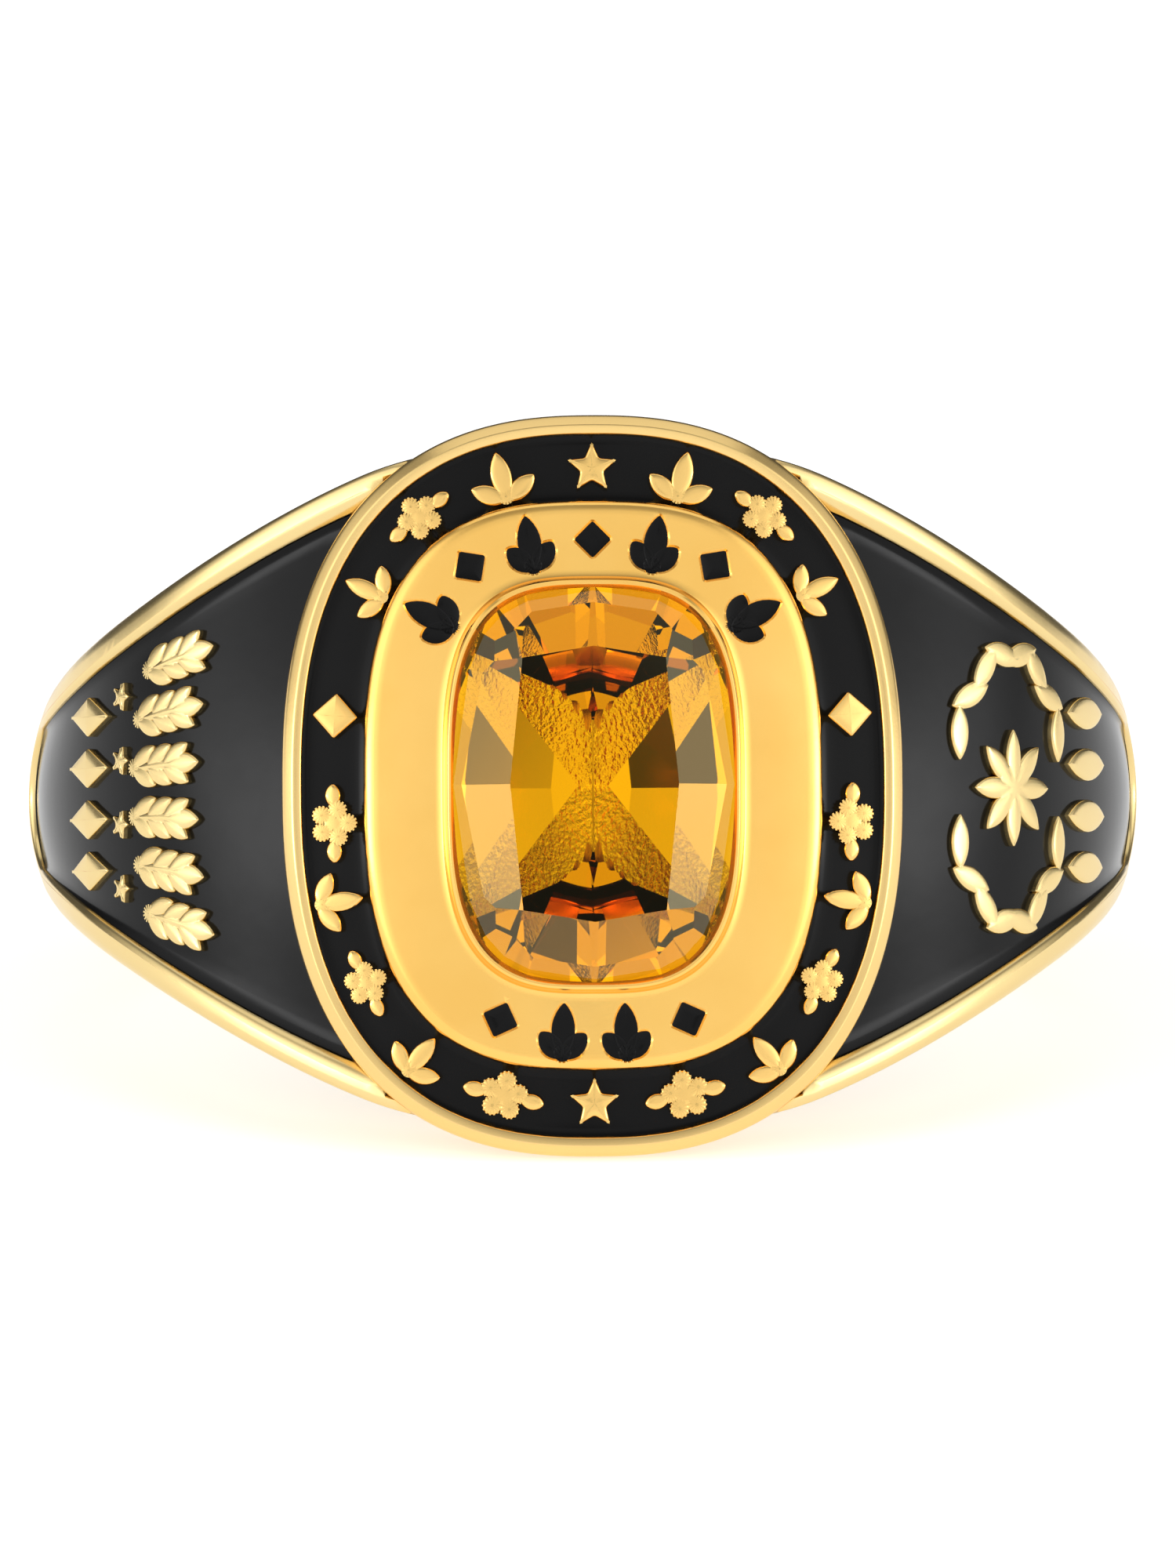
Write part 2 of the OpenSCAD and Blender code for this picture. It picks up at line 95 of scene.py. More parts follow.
SHOULDER_TOP = RIM_TOP - SHOULDER_DROP
SHOULDER_HALF = HEAD_HALF[1] - SHOULDER_INSET
SHOULDER_FLARE_R = arc_r(SHOULDER_TOP - FLARE_START, SHOULDER_HALF - SHANK_HALF)
SKIRT_Z = RIM_TOP - SKIRT_H
HEAD_FLARE_R = arc_r(SKIRT_Z - FLARE_START, HEAD_HALF[1] - SHANK_HALF)


def face_z(x, y, lift):
    """Height of the ring's face, which curves round the finger and a little along it."""
    return DOME_Z + np.sqrt((DOME_R + lift) ** 2 - x * x) - y * y / (2 * FACE_CROSS_R)


def smooth_low(a, b, width):
    """The lower of two heights, with the crease between them rounded."""
    share = np.clip(0.5 + 0.5 * (b - a) / width, 0, 1)
    return b + (a - b) * share - width * share * (1 - share)


def shank_half_width(z):
    rise = np.clip(z - FLARE_START, 0, SHOULDER_FLARE_R)
    return SHANK_HALF + SHOULDER_FLARE_R - np.sqrt(SHOULDER_FLARE_R ** 2 - rise ** 2)


def crown_drop(y, z):
    """How far the outside of the band falls away from its middle line, which flattens upwards."""
    rise = np.clip((z - CROWN_FADE_START) / CROWN_FADE, 0, 1)
    depth = CROWN + (SHOULDER_CROWN - CROWN) * rise * rise * (3 - 2 * rise)
    return depth * (y / shank_half_width(z)) ** 2


def placed(name, data):
    """An object made of a mesh, a light or a camera, in the scene."""
    piece = bpy.data.objects.new(name, data)
    bpy.context.scene.collection.objects.link(piece)
    return piece


WELD = 2e-4
SLIVER = 1e-5


def mesh_piece(name, points, faces):
    """A mesh in the drawing's millimetres, with doubled points joined and its faces turned out."""
    mesh = bpy.data.meshes.new(name)
    mesh.from_pydata([tuple(p) for p in points], [], faces)
    work = bmesh.new()
    work.from_mesh(mesh)
    bmesh.ops.remove_doubles(work, verts=work.verts, dist=WELD)
    bmesh.ops.dissolve_degenerate(work, edges=work.edges, dist=SLIVER)
    bmesh.ops.recalc_face_normals(work, faces=work.faces)
    if work.calc_volume(signed=True) < 0:
        bmesh.ops.reverse_faces(work, faces=work.faces)
    work.to_mesh(mesh)
    work.free()
    return placed(name, mesh)


def loft(name, rings, first_tip=None, last_tip=None):
    """A closed skin through rings of points. Without tips, the last ring joins the first. With
    a first tip alone, the last ring closes on itself."""
    rings = np.asarray(rings, float)
    count, size = rings.shape[:2]
    points = list(rings.reshape(-1, 3))
    faces = []
    for i in range(count if first_tip is None else count - 1):
        low, high = i * size, (i + 1) % count * size
        for k in range(size):
            n = (k + 1) % size
            faces.append((low + k, low + n, high + n, high + k))
    for tip, row in ((first_tip, 0), (last_tip, count - 1)):
        if tip is not None:
            points.append(np.asarray(tip, float))
            faces += [(len(points) - 1, row * size + (k + 1) % size, row * size + k)
                      for k in range(size)]
    return mesh_piece(name, points, faces)


FLARE_FILL = 0.9
FLARE_FADE = 0.3
FLARE_PROUD = 0.02
FLARE_INSET = 0.4


def band_half_width(x, z):
    """Half the band's width. Beside the finger hole, under the head, it fills the head's flare."""
    width = float(shank_half_width(z))
    room = 1 - (abs(x) / HEAD_HALF[0]) ** HEAD_N
    if z < 0 or room <= 0:
        return width
    flare = SHANK_HALF + HEAD_FLARE_R - math.sqrt(HEAD_FLARE_R ** 2 - (z - FLARE_START) ** 2)
    share = min(max((BORE_R + FLARE_FILL - math.hypot(x, z)) / FLARE_FADE, 0), 1)
    oval = HEAD_HALF[1] * room ** (1 / HEAD_N) - FLARE_INSET
    return max(width, min(width + (flare + FLARE_PROUD - width) * share, oval))


SHANK_STATIONS = 300
BORE_STEPS = 10
BORE_ROLL_STEPS = 6
WALL_STEPS = 7
EDGE_ROLL_STEPS = 8
TOP_STEPS = 15


def shank_section(a):
    """One slice across the band: finger side, one edge, outside and the other edge."""
    out = np.array([OUTER_R * math.sin(a), OUTER_Z + OUTER_R * math.cos(a)])
    ring_top = face_z(out[0], 0, -SHOULDER_DROP)
    if out[1] > 0 and abs(out[0]) < HEAD_HALF[0]:
        out[1] = smooth_low(out[1], ring_top, SHOULDER_BLEND)
    inner = out * BORE_R / np.hypot(*out)
    thick = np.hypot(*(out - inner))

    def at(depth):
        return inner + (out - inner) * depth / thick

    bore_half = band_half_width(*inner) - BORE_ROLL
    side = [(inner[0], share * bore_half, inner[1])
            for share in np.linspace(0, 1, BORE_STEPS)[:-1]]
    # The wall as depth from the finger hole, and how far its rolled ends draw in
    wall = [(BORE_ROLL * (1 - math.cos(t)), BORE_ROLL * (1 - math.sin(t)))
            for t in np.linspace(0, math.pi / 2, BORE_ROLL_STEPS)]
    wall += [(BORE_ROLL + share * (thick - BORE_ROLL - EDGE_ROLL), 0.0)
             for share in np.linspace(0, 1, WALL_STEPS)[1:-1]]
    wall += [(thick - EDGE_ROLL * (1 - math.sin(t)), EDGE_ROLL * (1 - math.cos(t)))
             for t in np.linspace(0, math.pi / 2, EDGE_ROLL_STEPS)]
    for depth, inset in wall:
        x, z = at(depth)
        y = band_half_width(x, z) - inset
        x, z = at(depth - float(crown_drop(y, z)) * (depth / thick) ** 2)
        side.append((x, y, z))
    for y in np.linspace(side[-1][1], 0, TOP_STEPS)[1:]:
        x, z = at(thick - float(crown_drop(y, out[1])))
        side.append((x, y, z))
    return side + [(x, -y, z) for x, y, z in side[-2:0:-1]]


# Under the head the band ends below the floor of the channel, and under the stone it is only a
# skin over the finger hole
UNDER_FLOOR = 0.1
SKIN_T = 0.25
SKIN_INSET = 2.1
HEAD_REACH = 9.0


def oval_share(x, y, half, n):
    """Below 1 inside an oval, and above 1 outside it."""
    return (np.abs(x) / half[0]) ** n + (np.abs(y) / half[1]) ** n


def sunk_under_head(points):
    points = np.array(points)
    x, y, z = points.T
    near_x = np.clip(x, -HEAD_REACH, HEAD_REACH)
    floor = face_z(near_x, y, -CHANNEL_DEPTH) - UNDER_FLOOR
    skin = np.sqrt(BORE_R ** 2 - near_x ** 2) + SKIN_T
    for inset, ceiling in ((RIM_W / 2, floor), (SKIN_INSET, skin)):
        inside = (oval_share(x, y, HEAD_HALF - inset, HEAD_N) < 1) & (z > 0)
        z = np.where(inside, np.minimum(z, ceiling), z)
    points[:, 2] = z
    return points


band = loft("band", [sunk_under_head(shank_section(2 * math.pi * i / SHANK_STATIONS))
                     for i in range(SHANK_STATIONS)])


# ---- Shoulder hollows ----
# A long hollow in each shoulder that takes black enamel. It leaves a rail along both edges of
# the shoulder, and it was in the wax pattern, so its edges are soft.

RAIL_TAIL_W = 0.85
RAIL_HEAD_W = 0.75
PANEL_NOSE = 1.8
PANEL_DEPTH = 0.45
RAIL_ROLL = 0.13
RAIL_ROLL_STEPS = 6
HOLLOW_INSET = 0.22
HOLLOW_ABOVE = 1.0
HOLLOW_LEAN = 0.1

PANEL_HALF = SHANK_HALF - RAIL_TAIL_W
PANEL_R = arc_r(SHOULDER_TOP - FLARE_START, SHOULDER_HALF - RAIL_HEAD_W - PANEL_HALF)


def panel_half_width(z, grow):
    """Half the width of the hollow at a height, with its whole outline grown by a distance."""
    def rails(z):
        return PANEL_HALF + PANEL_R - np.sqrt((PANEL_R - grow) ** 2 - (z - FLARE_START) ** 2)
    nose = np.sqrt(np.maximum(rails(PANEL_NOSE) ** 2 - (z - PANEL_NOSE) ** 2, 0))
    return np.where(z < PANEL_NOSE, nose, rails(z))


PANEL_ROWS = 72
PANEL_COLUMNS = 24
PANEL_END_GUESS = 10.0
PANEL_END_PASSES = 12


def panel_sheet(side, radius, grow, inset):
    """Points of one level of the hollow, from the tail end to inside the head's wall."""
    u = np.linspace(0, 1, PANEL_ROWS)[:, None] ** 2
    v = np.sin(np.linspace(-math.pi / 2, math.pi / 2, PANEL_COLUMNS))[None, :]
    tail = PANEL_NOSE - panel_half_width(PANEL_NOSE, grow)
    end_z = np.full(v.shape, PANEL_END_GUESS)
    for _ in range(PANEL_END_PASSES):
        y = np.abs(v * panel_half_width(end_z, grow))
        share = np.clip(1 - (y / (HEAD_HALF[1] - inset)) ** HEAD_N, 0, 1)
        x = (HEAD_HALF[0] - inset) * share ** (1 / HEAD_N)
        end_z = OUTER_Z + np.sqrt((radius - crown_drop(y, end_z)) ** 2 - x * x)
    z = tail + (end_z - tail) * u
    y = v * panel_half_width(z, grow)
    x = np.sqrt((radius - crown_drop(y, z)) ** 2 - (z - OUTER_Z) ** 2)
    return np.stack([side * x, y, z], -1)


def sheet_edge(sheet):
    """The closed line round a sheet of points."""
    return np.concatenate([sheet[0, :-1], sheet[:-1, -1], sheet[-1, :0:-1], sheet[:0:-1, 0]])


def slab(name, sheets):
    """A closed solid from a stack of sheets: the first and last are its faces."""
    rows, columns = sheets[0].shape[:2]
    points = [p for s in (sheets[0], sheets[-1]) for p in s.reshape(-1, 3)]
    face = rows * columns
    faces = []
    for base in (0, face):
        for i in range(rows - 1):
            for k in range(columns - 1):
                c = base + i * columns + k
                faces.append((c, c + 1, c + columns + 1, c + columns))
    loops = [sheet_edge(s) for s in sheets]
    start = len(points)
    points += [p for loop in loops for p in loop]
    size = len(loops[0])
    for i in range(len(loops) - 1):
        low, high = start + i * size, start + (i + 1) * size
        faces += [(low + k, low + (k + 1) % size, high + (k + 1) % size, high + k)
                  for k in range(size)]
    return mesh_piece(name, points, faces)


def hollow(side):
    """What is taken out of a shoulder: an upright wall with a rolled upper edge."""
    levels = [(OUTER_R - PANEL_DEPTH, 0.0), (OUTER_R - RAIL_ROLL, 0.0)]
    for t in np.linspace(0, math.pi / 2, RAIL_ROLL_STEPS)[1:]:
        levels.append((OUTER_R - RAIL_ROLL * (1 - math.sin(t)), RAIL_ROLL * (1 - math.cos(t))))
    levels.append((OUTER_R + HOLLOW_ABOVE, RAIL_ROLL + HOLLOW_LEAN))
    return slab("hollow", [panel_sheet(side, r, grow, HOLLOW_INSET) for r, grow in levels])


hollows = [hollow(-1), hollow(1)]


# ---- Head ----
# The oval block that carries the stone: a bevelled rim, the channel for the enamel, the raised
# plate and the thin lip that is pushed over the stone. It is cast in one with the band.

CHANNEL_W = [1.31, 1.41]
PLATE_N = 2.8
PLATE_RISE = 0.3
STONE_HALF = np.array([3.0, 4.22])
STONE_N = 3.1
LIP_OVER = 0.05
LIP_W = 0.22
LIP_RISE = 0.28
LIP_T = 0.2
FIT_GAP = 0.03
GIRDLE_T = 0.12
CROWN_H = 0.95
PAVILION_H = 2.6

CHANNEL_HALF = HEAD_HALF - RIM_W
PLATE_HALF = CHANNEL_HALF - CHANNEL_W
OPENING_HALF = STONE_HALF - LIP_OVER
LIP_HALF = OPENING_HALF + LIP_W
LIP_TOP = RIM_TOP + PLATE_RISE + LIP_RISE
GIRDLE_TOP = LIP_TOP - LIP_T
GIRDLE_BOTTOM = GIRDLE_TOP - GIRDLE_T
TABLE_Z = GIRDLE_TOP + CROWN_H
KEEL_Z = GIRDLE_BOTTOM - PAVILION_H
HEAD_ANGLES = np.linspace(0, 2 * math.pi, 320, endpoint=False)


def oval_r(half, n, a):
    """How far an oval reaches at an angle. It is rounder than an ellipse where n is over 2."""
    return ((np.abs(np.cos(a)) / half[0]) ** n + (np.abs(np.sin(a)) / half[1]) ** n) ** (-1 / n)


def oval_xy(half, n):
    r = oval_r(half, n, HEAD_ANGLES)
    return r * np.cos(HEAD_ANGLES), r * np.sin(HEAD_ANGLES)


def face_ring(half, n, lift):
    """A ring of points on the face, at a height over the rim's curve."""
    x, y = oval_xy(half, n)
    return np.stack([x, y, face_z(x, y, lift)], 1)


def between(first, last, steps):
    return [first + (last - first) * s for s in np.linspace(0, 1, steps + 2)[1:-1]]


# The head's underside stays hidden in the band over the finger hole
UNDER_LIFT = 0.06
UNDER_LIFT_MORE = 0.14
UNDER_LIFT_START = 2.6
UNDER_LIFT_FADE = 1.2
UNDER_BLEND = 0.1


def under_head(x, y):
    """Underside of the head: the finger hole, and the taper beyond it up to the wall."""
    reach = np.clip(SHANK_HALF + HEAD_FLARE_R - np.abs(y), 0, HEAD_FLARE_R)
    taper = FLARE_START + np.sqrt(HEAD_FLARE_R ** 2 - reach ** 2)
    more = np.clip((np.abs(y) - UNDER_LIFT_START) / UNDER_LIFT_FADE, 0, 1)
    hole = np.sqrt((BORE_R + (UNDER_LIFT + UNDER_LIFT_MORE * more)) ** 2 - x * x)
    return -smooth_low(-taper, -hole, UNDER_BLEND)


# The stone's facets, as a point on each, the way that it faces and its slope from level
TABLE_CORNER = [0.507, 0.635]
TABLE_FACETS = [(5.8, 30), (33, 36), (80.7, 28)]
CROWN_EDGE = [8, 24, 42, 62, 81]
CROWN_EDGE_SLOPE = 45
PAVILION_EDGE = [11, 31, 54, 78]
PAVILION_EDGE_SLOPE = 50
# Deep facets: facing, distance from the middle at the keel's depth, share of the depth that they
# reach at the girdle. The first four meet in the keel.
PAVILION_MAIN = [(12, 0.0, 0.89), (0, 0.07, 1.0), (52, 1.05, 0.97), (75.8, 1.12, 0.96),
                 (90, 1.1, 0.86)]
# The keel's ridge is worn flat by two cuts, which rise a little towards the ends of the stone
KEEL_RISE = 0.148
KEEL_WEAR = 0.012
WEAR_WAYS = (90, 270)


def four_ways(a):
    """The same way in all four quarters of the stone, or both ends of a way on its middle."""
    return [0, 180] if a == 0 else [90, 270] if a == 90 else [a, 180 - a, 180 + a, 360 - a]


def unit(a):
    """A step of 1 in a way given in degrees."""
    return np.array([math.cos(math.radians(a)), math.sin(math.radians(a))])


def girdle_point(a):
    """Where the stone's outline faces a way."""
    n = STONE_N
    way = unit(a)
    raw = np.sign(way) * (STONE_HALF ** n * np.abs(way)) ** (1 / (n - 1))
    return raw * ((np.abs(raw) / STONE_HALF) ** n).sum() ** (-1 / n)


def stone_facets():
    """Every cut of the stone, as a point on it and the way that it faces, from the table down."""
    cuts = []

    def cut(x, y, z, a, slope):
        up, out = unit(slope)
        cuts.append((Vector((x, y, z)), Vector((*(out * unit(a)), up))))

    for a, slope in TABLE_FACETS:
        for f in four_ways(a):
            cut(*(np.sign(unit(f)) * (STONE_HALF * TABLE_CORNER)), TABLE_Z, f, slope)
    for facings, slope, z in ((CROWN_EDGE, CROWN_EDGE_SLOPE, GIRDLE_TOP),
                              (PAVILION_EDGE, 180 - PAVILION_EDGE_SLOPE, GIRDLE_BOTTOM)):
        for a in facings:
            for f in four_ways(a):
                cut(*girdle_point(f), z, f, slope)
    for a, start, share in PAVILION_MAIN:
        slope = math.degrees(math.atan(share * PAVILION_H / (girdle_point(a) @ unit(a) - start)))
        for f in four_ways(a):
            cut(*(start * unit(f)), KEEL_Z, f, 180 - slope)
    for f in WEAR_WAYS:
        cut(0, 0, KEEL_Z + KEEL_WEAR, f, 180 - math.degrees(math.atan(KEEL_RISE)))
    return cuts


FACETS = stone_facets()


def seat_ring(z, gap):
    """A ring of points round the stone at a height, a gap away from its facets."""
    r = oval_r(STONE_HALF, STONE_N, HEAD_ANGLES)
    for point, normal in FACETS:
        toward = normal.x * np.cos(HEAD_ANGLES) + normal.y * np.sin(HEAD_ANGLES)
        reach = normal.dot(point) - normal.z * z
        r = np.where(toward > 1e-3, np.minimum(r, reach / np.maximum(toward, 1e-3)), r)
    r = np.maximum(r, 0.0) + gap
    return np.stack([r * np.cos(HEAD_ANGLES), r * np.sin(HEAD_ANGLES), np.full(r.shape, z)], 1)


# Rim, from its outside to the channel: distance in from the wall, and height over the ridge
RIM_PROFILE = [(0.0, -0.3), (0.004, -0.24), (0.02, -0.19), (0.045, -0.15), (0.08, -0.12),
               (0.19, -0.02), (0.21, -0.006), (0.23, 0.0), (0.25, -0.003), (0.36, -0.035),
               (0.385, -0.045), (0.405, -0.065), (0.42, -0.1), (0.43, -0.15)]
# Plate edge: distance in from its wall, and depth under the plate
PLATE_EDGE = [(0.0, -0.2), (0.008, -0.14), (0.03, -0.09), (0.07, -0.045), (0.13, -0.015),
              (0.22, 0.0)]
# Lip, from the plate to the stone: distance out from the lip's outline and share of its height
LIP_PROFILE = [(0.1, 0.0), (0.05, 0.04), (0.015, 0.2), (0.0, 0.5), (-0.012, 0.75), (-0.04, 0.92),
               (-0.085, 1.0), (-0.13, 0.985), (-0.175, 0.88), (-0.205, 0.72)]


# Underside, as shares of the head's outline, and its rolled lower edge
UNDER_SHARES = [0.1, 0.25, 0.4, 0.5] + list(np.arange(0.56, 0.95, 0.02))
LOWER_ROLL = 0.2
LOWER_ROLL_STEPS = 6
PLATE_STEPS = 13
SEAT_STEPS = 14
SEAT_GAP = FIT_GAP + 0.02
SEAT_DEEPER = 0.05


def head_rings():
    """Rings of points from the middle of the underside round the outside to the stone's seat."""
    rings = []
    wall = face_ring(HEAD_HALF, HEAD_N, RIM_PROFILE[0][1])
    x, y = oval_xy(HEAD_HALF, HEAD_N)
    for s in UNDER_SHARES:
        rings.append(np.stack([s * x, s * y, under_head(s * x, s * y)], 1))
    for t in np.linspace(0, math.pi / 2, LOWER_ROLL_STEPS):
        s = 1 - (LOWER_ROLL / np.hypot(x, y)) * (1 - math.sin(t))
        lift = LOWER_ROLL * (1 - math.cos(t))
        rings.append(np.stack([s * x, s * y, under_head(s * x, s * y) + lift], 1))
    rings += between(rings[-1], wall, 5)
    rings += [face_ring(HEAD_HALF - d, HEAD_N, h) for d, h in RIM_PROFILE]
    # Channel, which the enamel hides
    edge = face_ring(CHANNEL_HALF, HEAD_N, -CHANNEL_DEPTH)
    foot = face_ring(PLATE_HALF, PLATE_N, -CHANNEL_DEPTH)
    rings += [edge] + between(edge, foot, 3) + [foot]
    # Plate
    rings += [face_ring(PLATE_HALF - d, PLATE_N, PLATE_RISE + h) for d, h in PLATE_EDGE]
    outer = PLATE_HALF - PLATE_EDGE[-1][0]
    for s in np.linspace(0, 1, PLATE_STEPS)[1:-1]:
        half = outer + (LIP_HALF + LIP_PROFILE[0][0] - outer) * s
        rings.append(face_ring(half, PLATE_N + (STONE_N - PLATE_N) * s, PLATE_RISE))
    # Lip
    for d, share in LIP_PROFILE:
        ring = face_ring(LIP_HALF + d, STONE_N, PLATE_RISE)
        ring[:, 2] += (LIP_TOP - ring[:, 2]) * share
        rings.append(ring)
    # Seat of the stone
    for half, gap in ((OPENING_HALF, SEAT_GAP), (STONE_HALF + FIT_GAP, FIT_GAP)):
        x, y = oval_xy(half, STONE_N)
        rings.append(np.stack([x, y, np.full(x.shape, GIRDLE_TOP + gap)], 1))
    for z in np.linspace(GIRDLE_BOTTOM, KEEL_Z + SEAT_GAP - FIT_GAP, SEAT_STEPS):
        rings.append(seat_ring(z, SEAT_GAP))
    return rings


head = loft("head", head_rings(), (0, 0, under_head(np.array(0.0), np.array(0.0))),
            (0, 0, KEEL_Z - SEAT_DEEPER))


# ---- Cast ornaments ----
# Leaves, flowers, stars and lozenges that stand up through the enamel round the face and on the
# shoulders. They are part of the casting, soft at their edges and a little fuller in the middle.

CHANNEL_MARGIN = 0.13
CHANNEL_RELIEF = (-CHANNEL_DEPTH - 0.14, -0.09)
PANEL_MARGIN = 0.35
PANEL_RELIEF = (-PANEL_DEPTH - 0.2, -0.05)
ORNAMENT_CORNER = 0.05
ORNAMENT_ROLL = 0.06
ORNAMENT_FULLNESS = 0.008
PETALS = 5
STAR_TIPS = 5
STAR_WAIST = 0.46


def turned(points, angle):
    c, s = unit(angle)
    return np.asarray(points, float) @ np.array([[c, s], [-s, c]])


def leaf(length, width):
    """Outline of a pointed leaf that stands on the origin, and the line of its rib."""
    half = width / 2
    r = arc_r(length / 2, half)
    reach = math.asin(length / 2 / r)
    b = np.linspace(-reach, reach, 11)
    right = np.stack([half - r + r * np.cos(b), length / 2 + r * np.sin(b)], 1)
    left = right[-2:0:-1] * [-1, 1]
    return [(np.concatenate([right, left]), np.array([[0, 0.2 * length], [0, 0.8 * length]]))]


def disc(r, points=14):
    a = np.linspace(0, 2 * math.pi, points, endpoint=False)
    return [(r * np.stack([np.cos(a), np.sin(a)], 1), np.zeros((2, 2)))]


def moved(forms, angle=0, by=(0, 0)):
    return [(turned(o, angle) + by, turned(rib, angle) + by) for o, rib in forms]


def sprig(size, spread, side_share):
    forms = leaf(size, 0.42 * size)
    for side in (-1, 1):
        forms += moved(leaf(side_share * size, 0.38 * size), side * spread)
    forms += moved(disc(0.16 * size), 0, (0, 0.1 * size))
    return moved(forms, 0, (0, -size / 2))


def spray(size):
    forms = leaf(0.86 * size, 0.12 * size)
    forms += moved(disc(0.09 * size), 0, (0, 0.05 * size))
    forms += moved(leaf(0.48 * size, 0.21 * size), 0, (0, 0.52 * size))
    for step in range(3):
        for side in (-1, 1):
            forms += moved(leaf(0.42 * size, 0.18 * size), side * 27, (0, 0.24 * step * size))
    return moved(forms, 0, (0, -size / 2))


def blossom(size):
    forms = disc(0.24 * size)
    for i in range(PETALS):
        a = 90 + 360 * i / PETALS
        forms += moved(disc(0.2 * size), 0, turned([0.29 * size, 0], a))
    for side in (-1, 1):
        forms += moved(moved(leaf(0.5 * size, 0.32 * size), 0, (0, 0.32 * size)), -90 * side)
    return forms


def star(size):
    a = np.radians(90 + 180 / STAR_TIPS * np.arange(2 * STAR_TIPS))
    r = np.where(np.arange(2 * STAR_TIPS) % 2 == 0, size / 2, STAR_WAIST * size / 2)
    return [(r[:, None] * np.stack([np.cos(a), np.sin(a)], 1), np.zeros((2, 2)))]


def lozenge(size, stretch=1):
    corners = np.array([[1, 0], [0, stretch], [-1, 0], [0, -stretch]]) * size / 2
    return [(corners, np.zeros((2, 2)))]


def wide_sprig(size):
    return sprig(size, 58, 0.76)


def upright_sprig(size):
    return sprig(size, 42, 0.62)


def shrunk(outline, distance):
    """An outline moved inwards by a distance, with its corners kept."""
    edge = np.roll(outline, -1, 0) - outline
    normal = np.stack([edge[:, 1], -edge[:, 0]], 1)
    normal /= np.hypot(*normal.T)[:, None]
    before = np.roll(normal, 1, 0)
    corner = (normal + before) / np.maximum(1 + (normal * before).sum(1), 0.25)[:, None]
    return outline - corner * distance


LEAST_CORNER = 0.35


def rounded(outline):
    """The same outline with its sharp corners cut back by three short steps."""
    points = []
    for i, p in enumerate(outline):
        before = outline[i - 1] - p
        after = outline[(i + 1) % len(outline)] - p
        bend = np.cross(before, after)
        if abs(bend) < LEAST_CORNER * np.hypot(*before) * np.hypot(*after):
            points.append(p)
            continue
        a = p + before / np.hypot(*before) * ORNAMENT_CORNER
        b = p + after / np.hypot(*after) * ORNAMENT_CORNER
        for t in (0, 0.33, 0.67, 1):
            points.append((1 - t) ** 2 * a + 2 * t * (1 - t) * p + t ** 2 * b)
    return np.array(points)


def raised(outline, rib, place, root, top):
    """A solid over an outline with rolled upper edges and a full middle.

    place turns points of the outline and a height into points of the drawing."""
    outline = rounded(outline)
    rings = [place(outline, root), place(outline, top - ORNAMENT_ROLL)]
    for t in np.linspace(0, math.pi / 2, 4)[1:]:
        rings.append(place(shrunk(outline, ORNAMENT_ROLL * (1 - math.cos(t))),
                           top - ORNAMENT_ROLL * (1 - math.sin(t))))
    inner = shrunk(outline, ORNAMENT_ROLL)
    run = rib[1] - rib[0]
    along = ((inner - rib[0]) @ run / max(run @ run, 1e-9)).clip(0, 1)
    target = rib[0] + along[:, None] * run
    for s in (0.45, 0.8, 1.0):
        rings.append(place(inner + (target - inner) * s,
                           top + ORNAMENT_FULLNESS * (1 - (1 - s) ** 2)))
    return loft("form", rings, place(outline.mean(0)[None], root)[0])


def place_on_face(points, lift):
    return np.stack([points[:, 0], points[:, 1], face_z(points[:, 0], points[:, 1], lift)], 1)


def facing(half, n, p):
    """The way that an oval faces at a point on it, in degrees."""
    return math.degrees(math.atan2(
        np.sign(p[1]) * (abs(p[1]) / half[1]) ** (n - 1) / half[1],
        np.sign(p[0]) * (abs(p[0]) / half[0]) ** (n - 1) / half[0]))


def midway(outer, outer_n, inner, inner_n, angle):
    """The place halfway between two ovals, the way that it faces, and the room between them."""
    p, q = (oval_r(half, n, math.radians(angle)) * unit(angle)
            for half, n in ((outer, outer_n), (inner, inner_n)))
    turn = (facing(outer, outer_n, p) + facing(inner, inner_n, q)) / 2
    return (p + q) / 2, turn - 90, np.hypot(*(p - q)) * math.cos(math.radians(turn - angle))


# Ornaments of the channel: a short row above, a long row below, and a lozenge at each side
TOP_ROW = [wide_sprig, blossom, wide_sprig, star, wide_sprig, blossom, wide_sprig]
TOP_FIRST = 41
LOW_ROW = [blossom, wide_sprig] * 2 + [blossom, star] + [blossom, wide_sprig] * 2 + [blossom]
LOW_FIRST = -172
SIDE_LOZENGES = (15.4, 164.6)
SIDE_LOZENGE_SHARE = 0.96


def channel_forms():
    places = [(kind, TOP_FIRST + (180 - 2 * TOP_FIRST) * i / (len(TOP_ROW) - 1), 0, 1)
              for i, kind in enumerate(TOP_ROW)]
    places += [(kind, LOW_FIRST - (180 + 2 * LOW_FIRST) * i / (len(LOW_ROW) - 1), 180, 1)
               for i, kind in enumerate(LOW_ROW)]
    places += [(lozenge, angle, 0, SIDE_LOZENGE_SHARE) for angle in SIDE_LOZENGES]
    forms = []
    for kind, angle, flip, share in places:
        centre, turn, room = midway(CHANNEL_HALF, HEAD_N, PLATE_HALF, PLATE_N, angle)
        forms += moved(kind(share * (room - 2 * CHANNEL_MARGIN)), turn + flip, centre)
    return forms


def on_shoulder(side):
    """Wraps points on the outside of a shoulder: X is the angle from the face, in millimetres."""
    def place(points, lift):
        angle, y = points[:, 0] / OUTER_R, points[:, 1]
        r = OUTER_R + lift - crown_drop(y, OUTER_Z + OUTER_R * np.cos(angle))
        return np.stack([side * r * np.sin(angle), y, OUTER_Z + r * np.cos(angle)], 1)
    return place


def shoulder_spot(angle, y):
    return (OUTER_R * math.radians(angle), y)


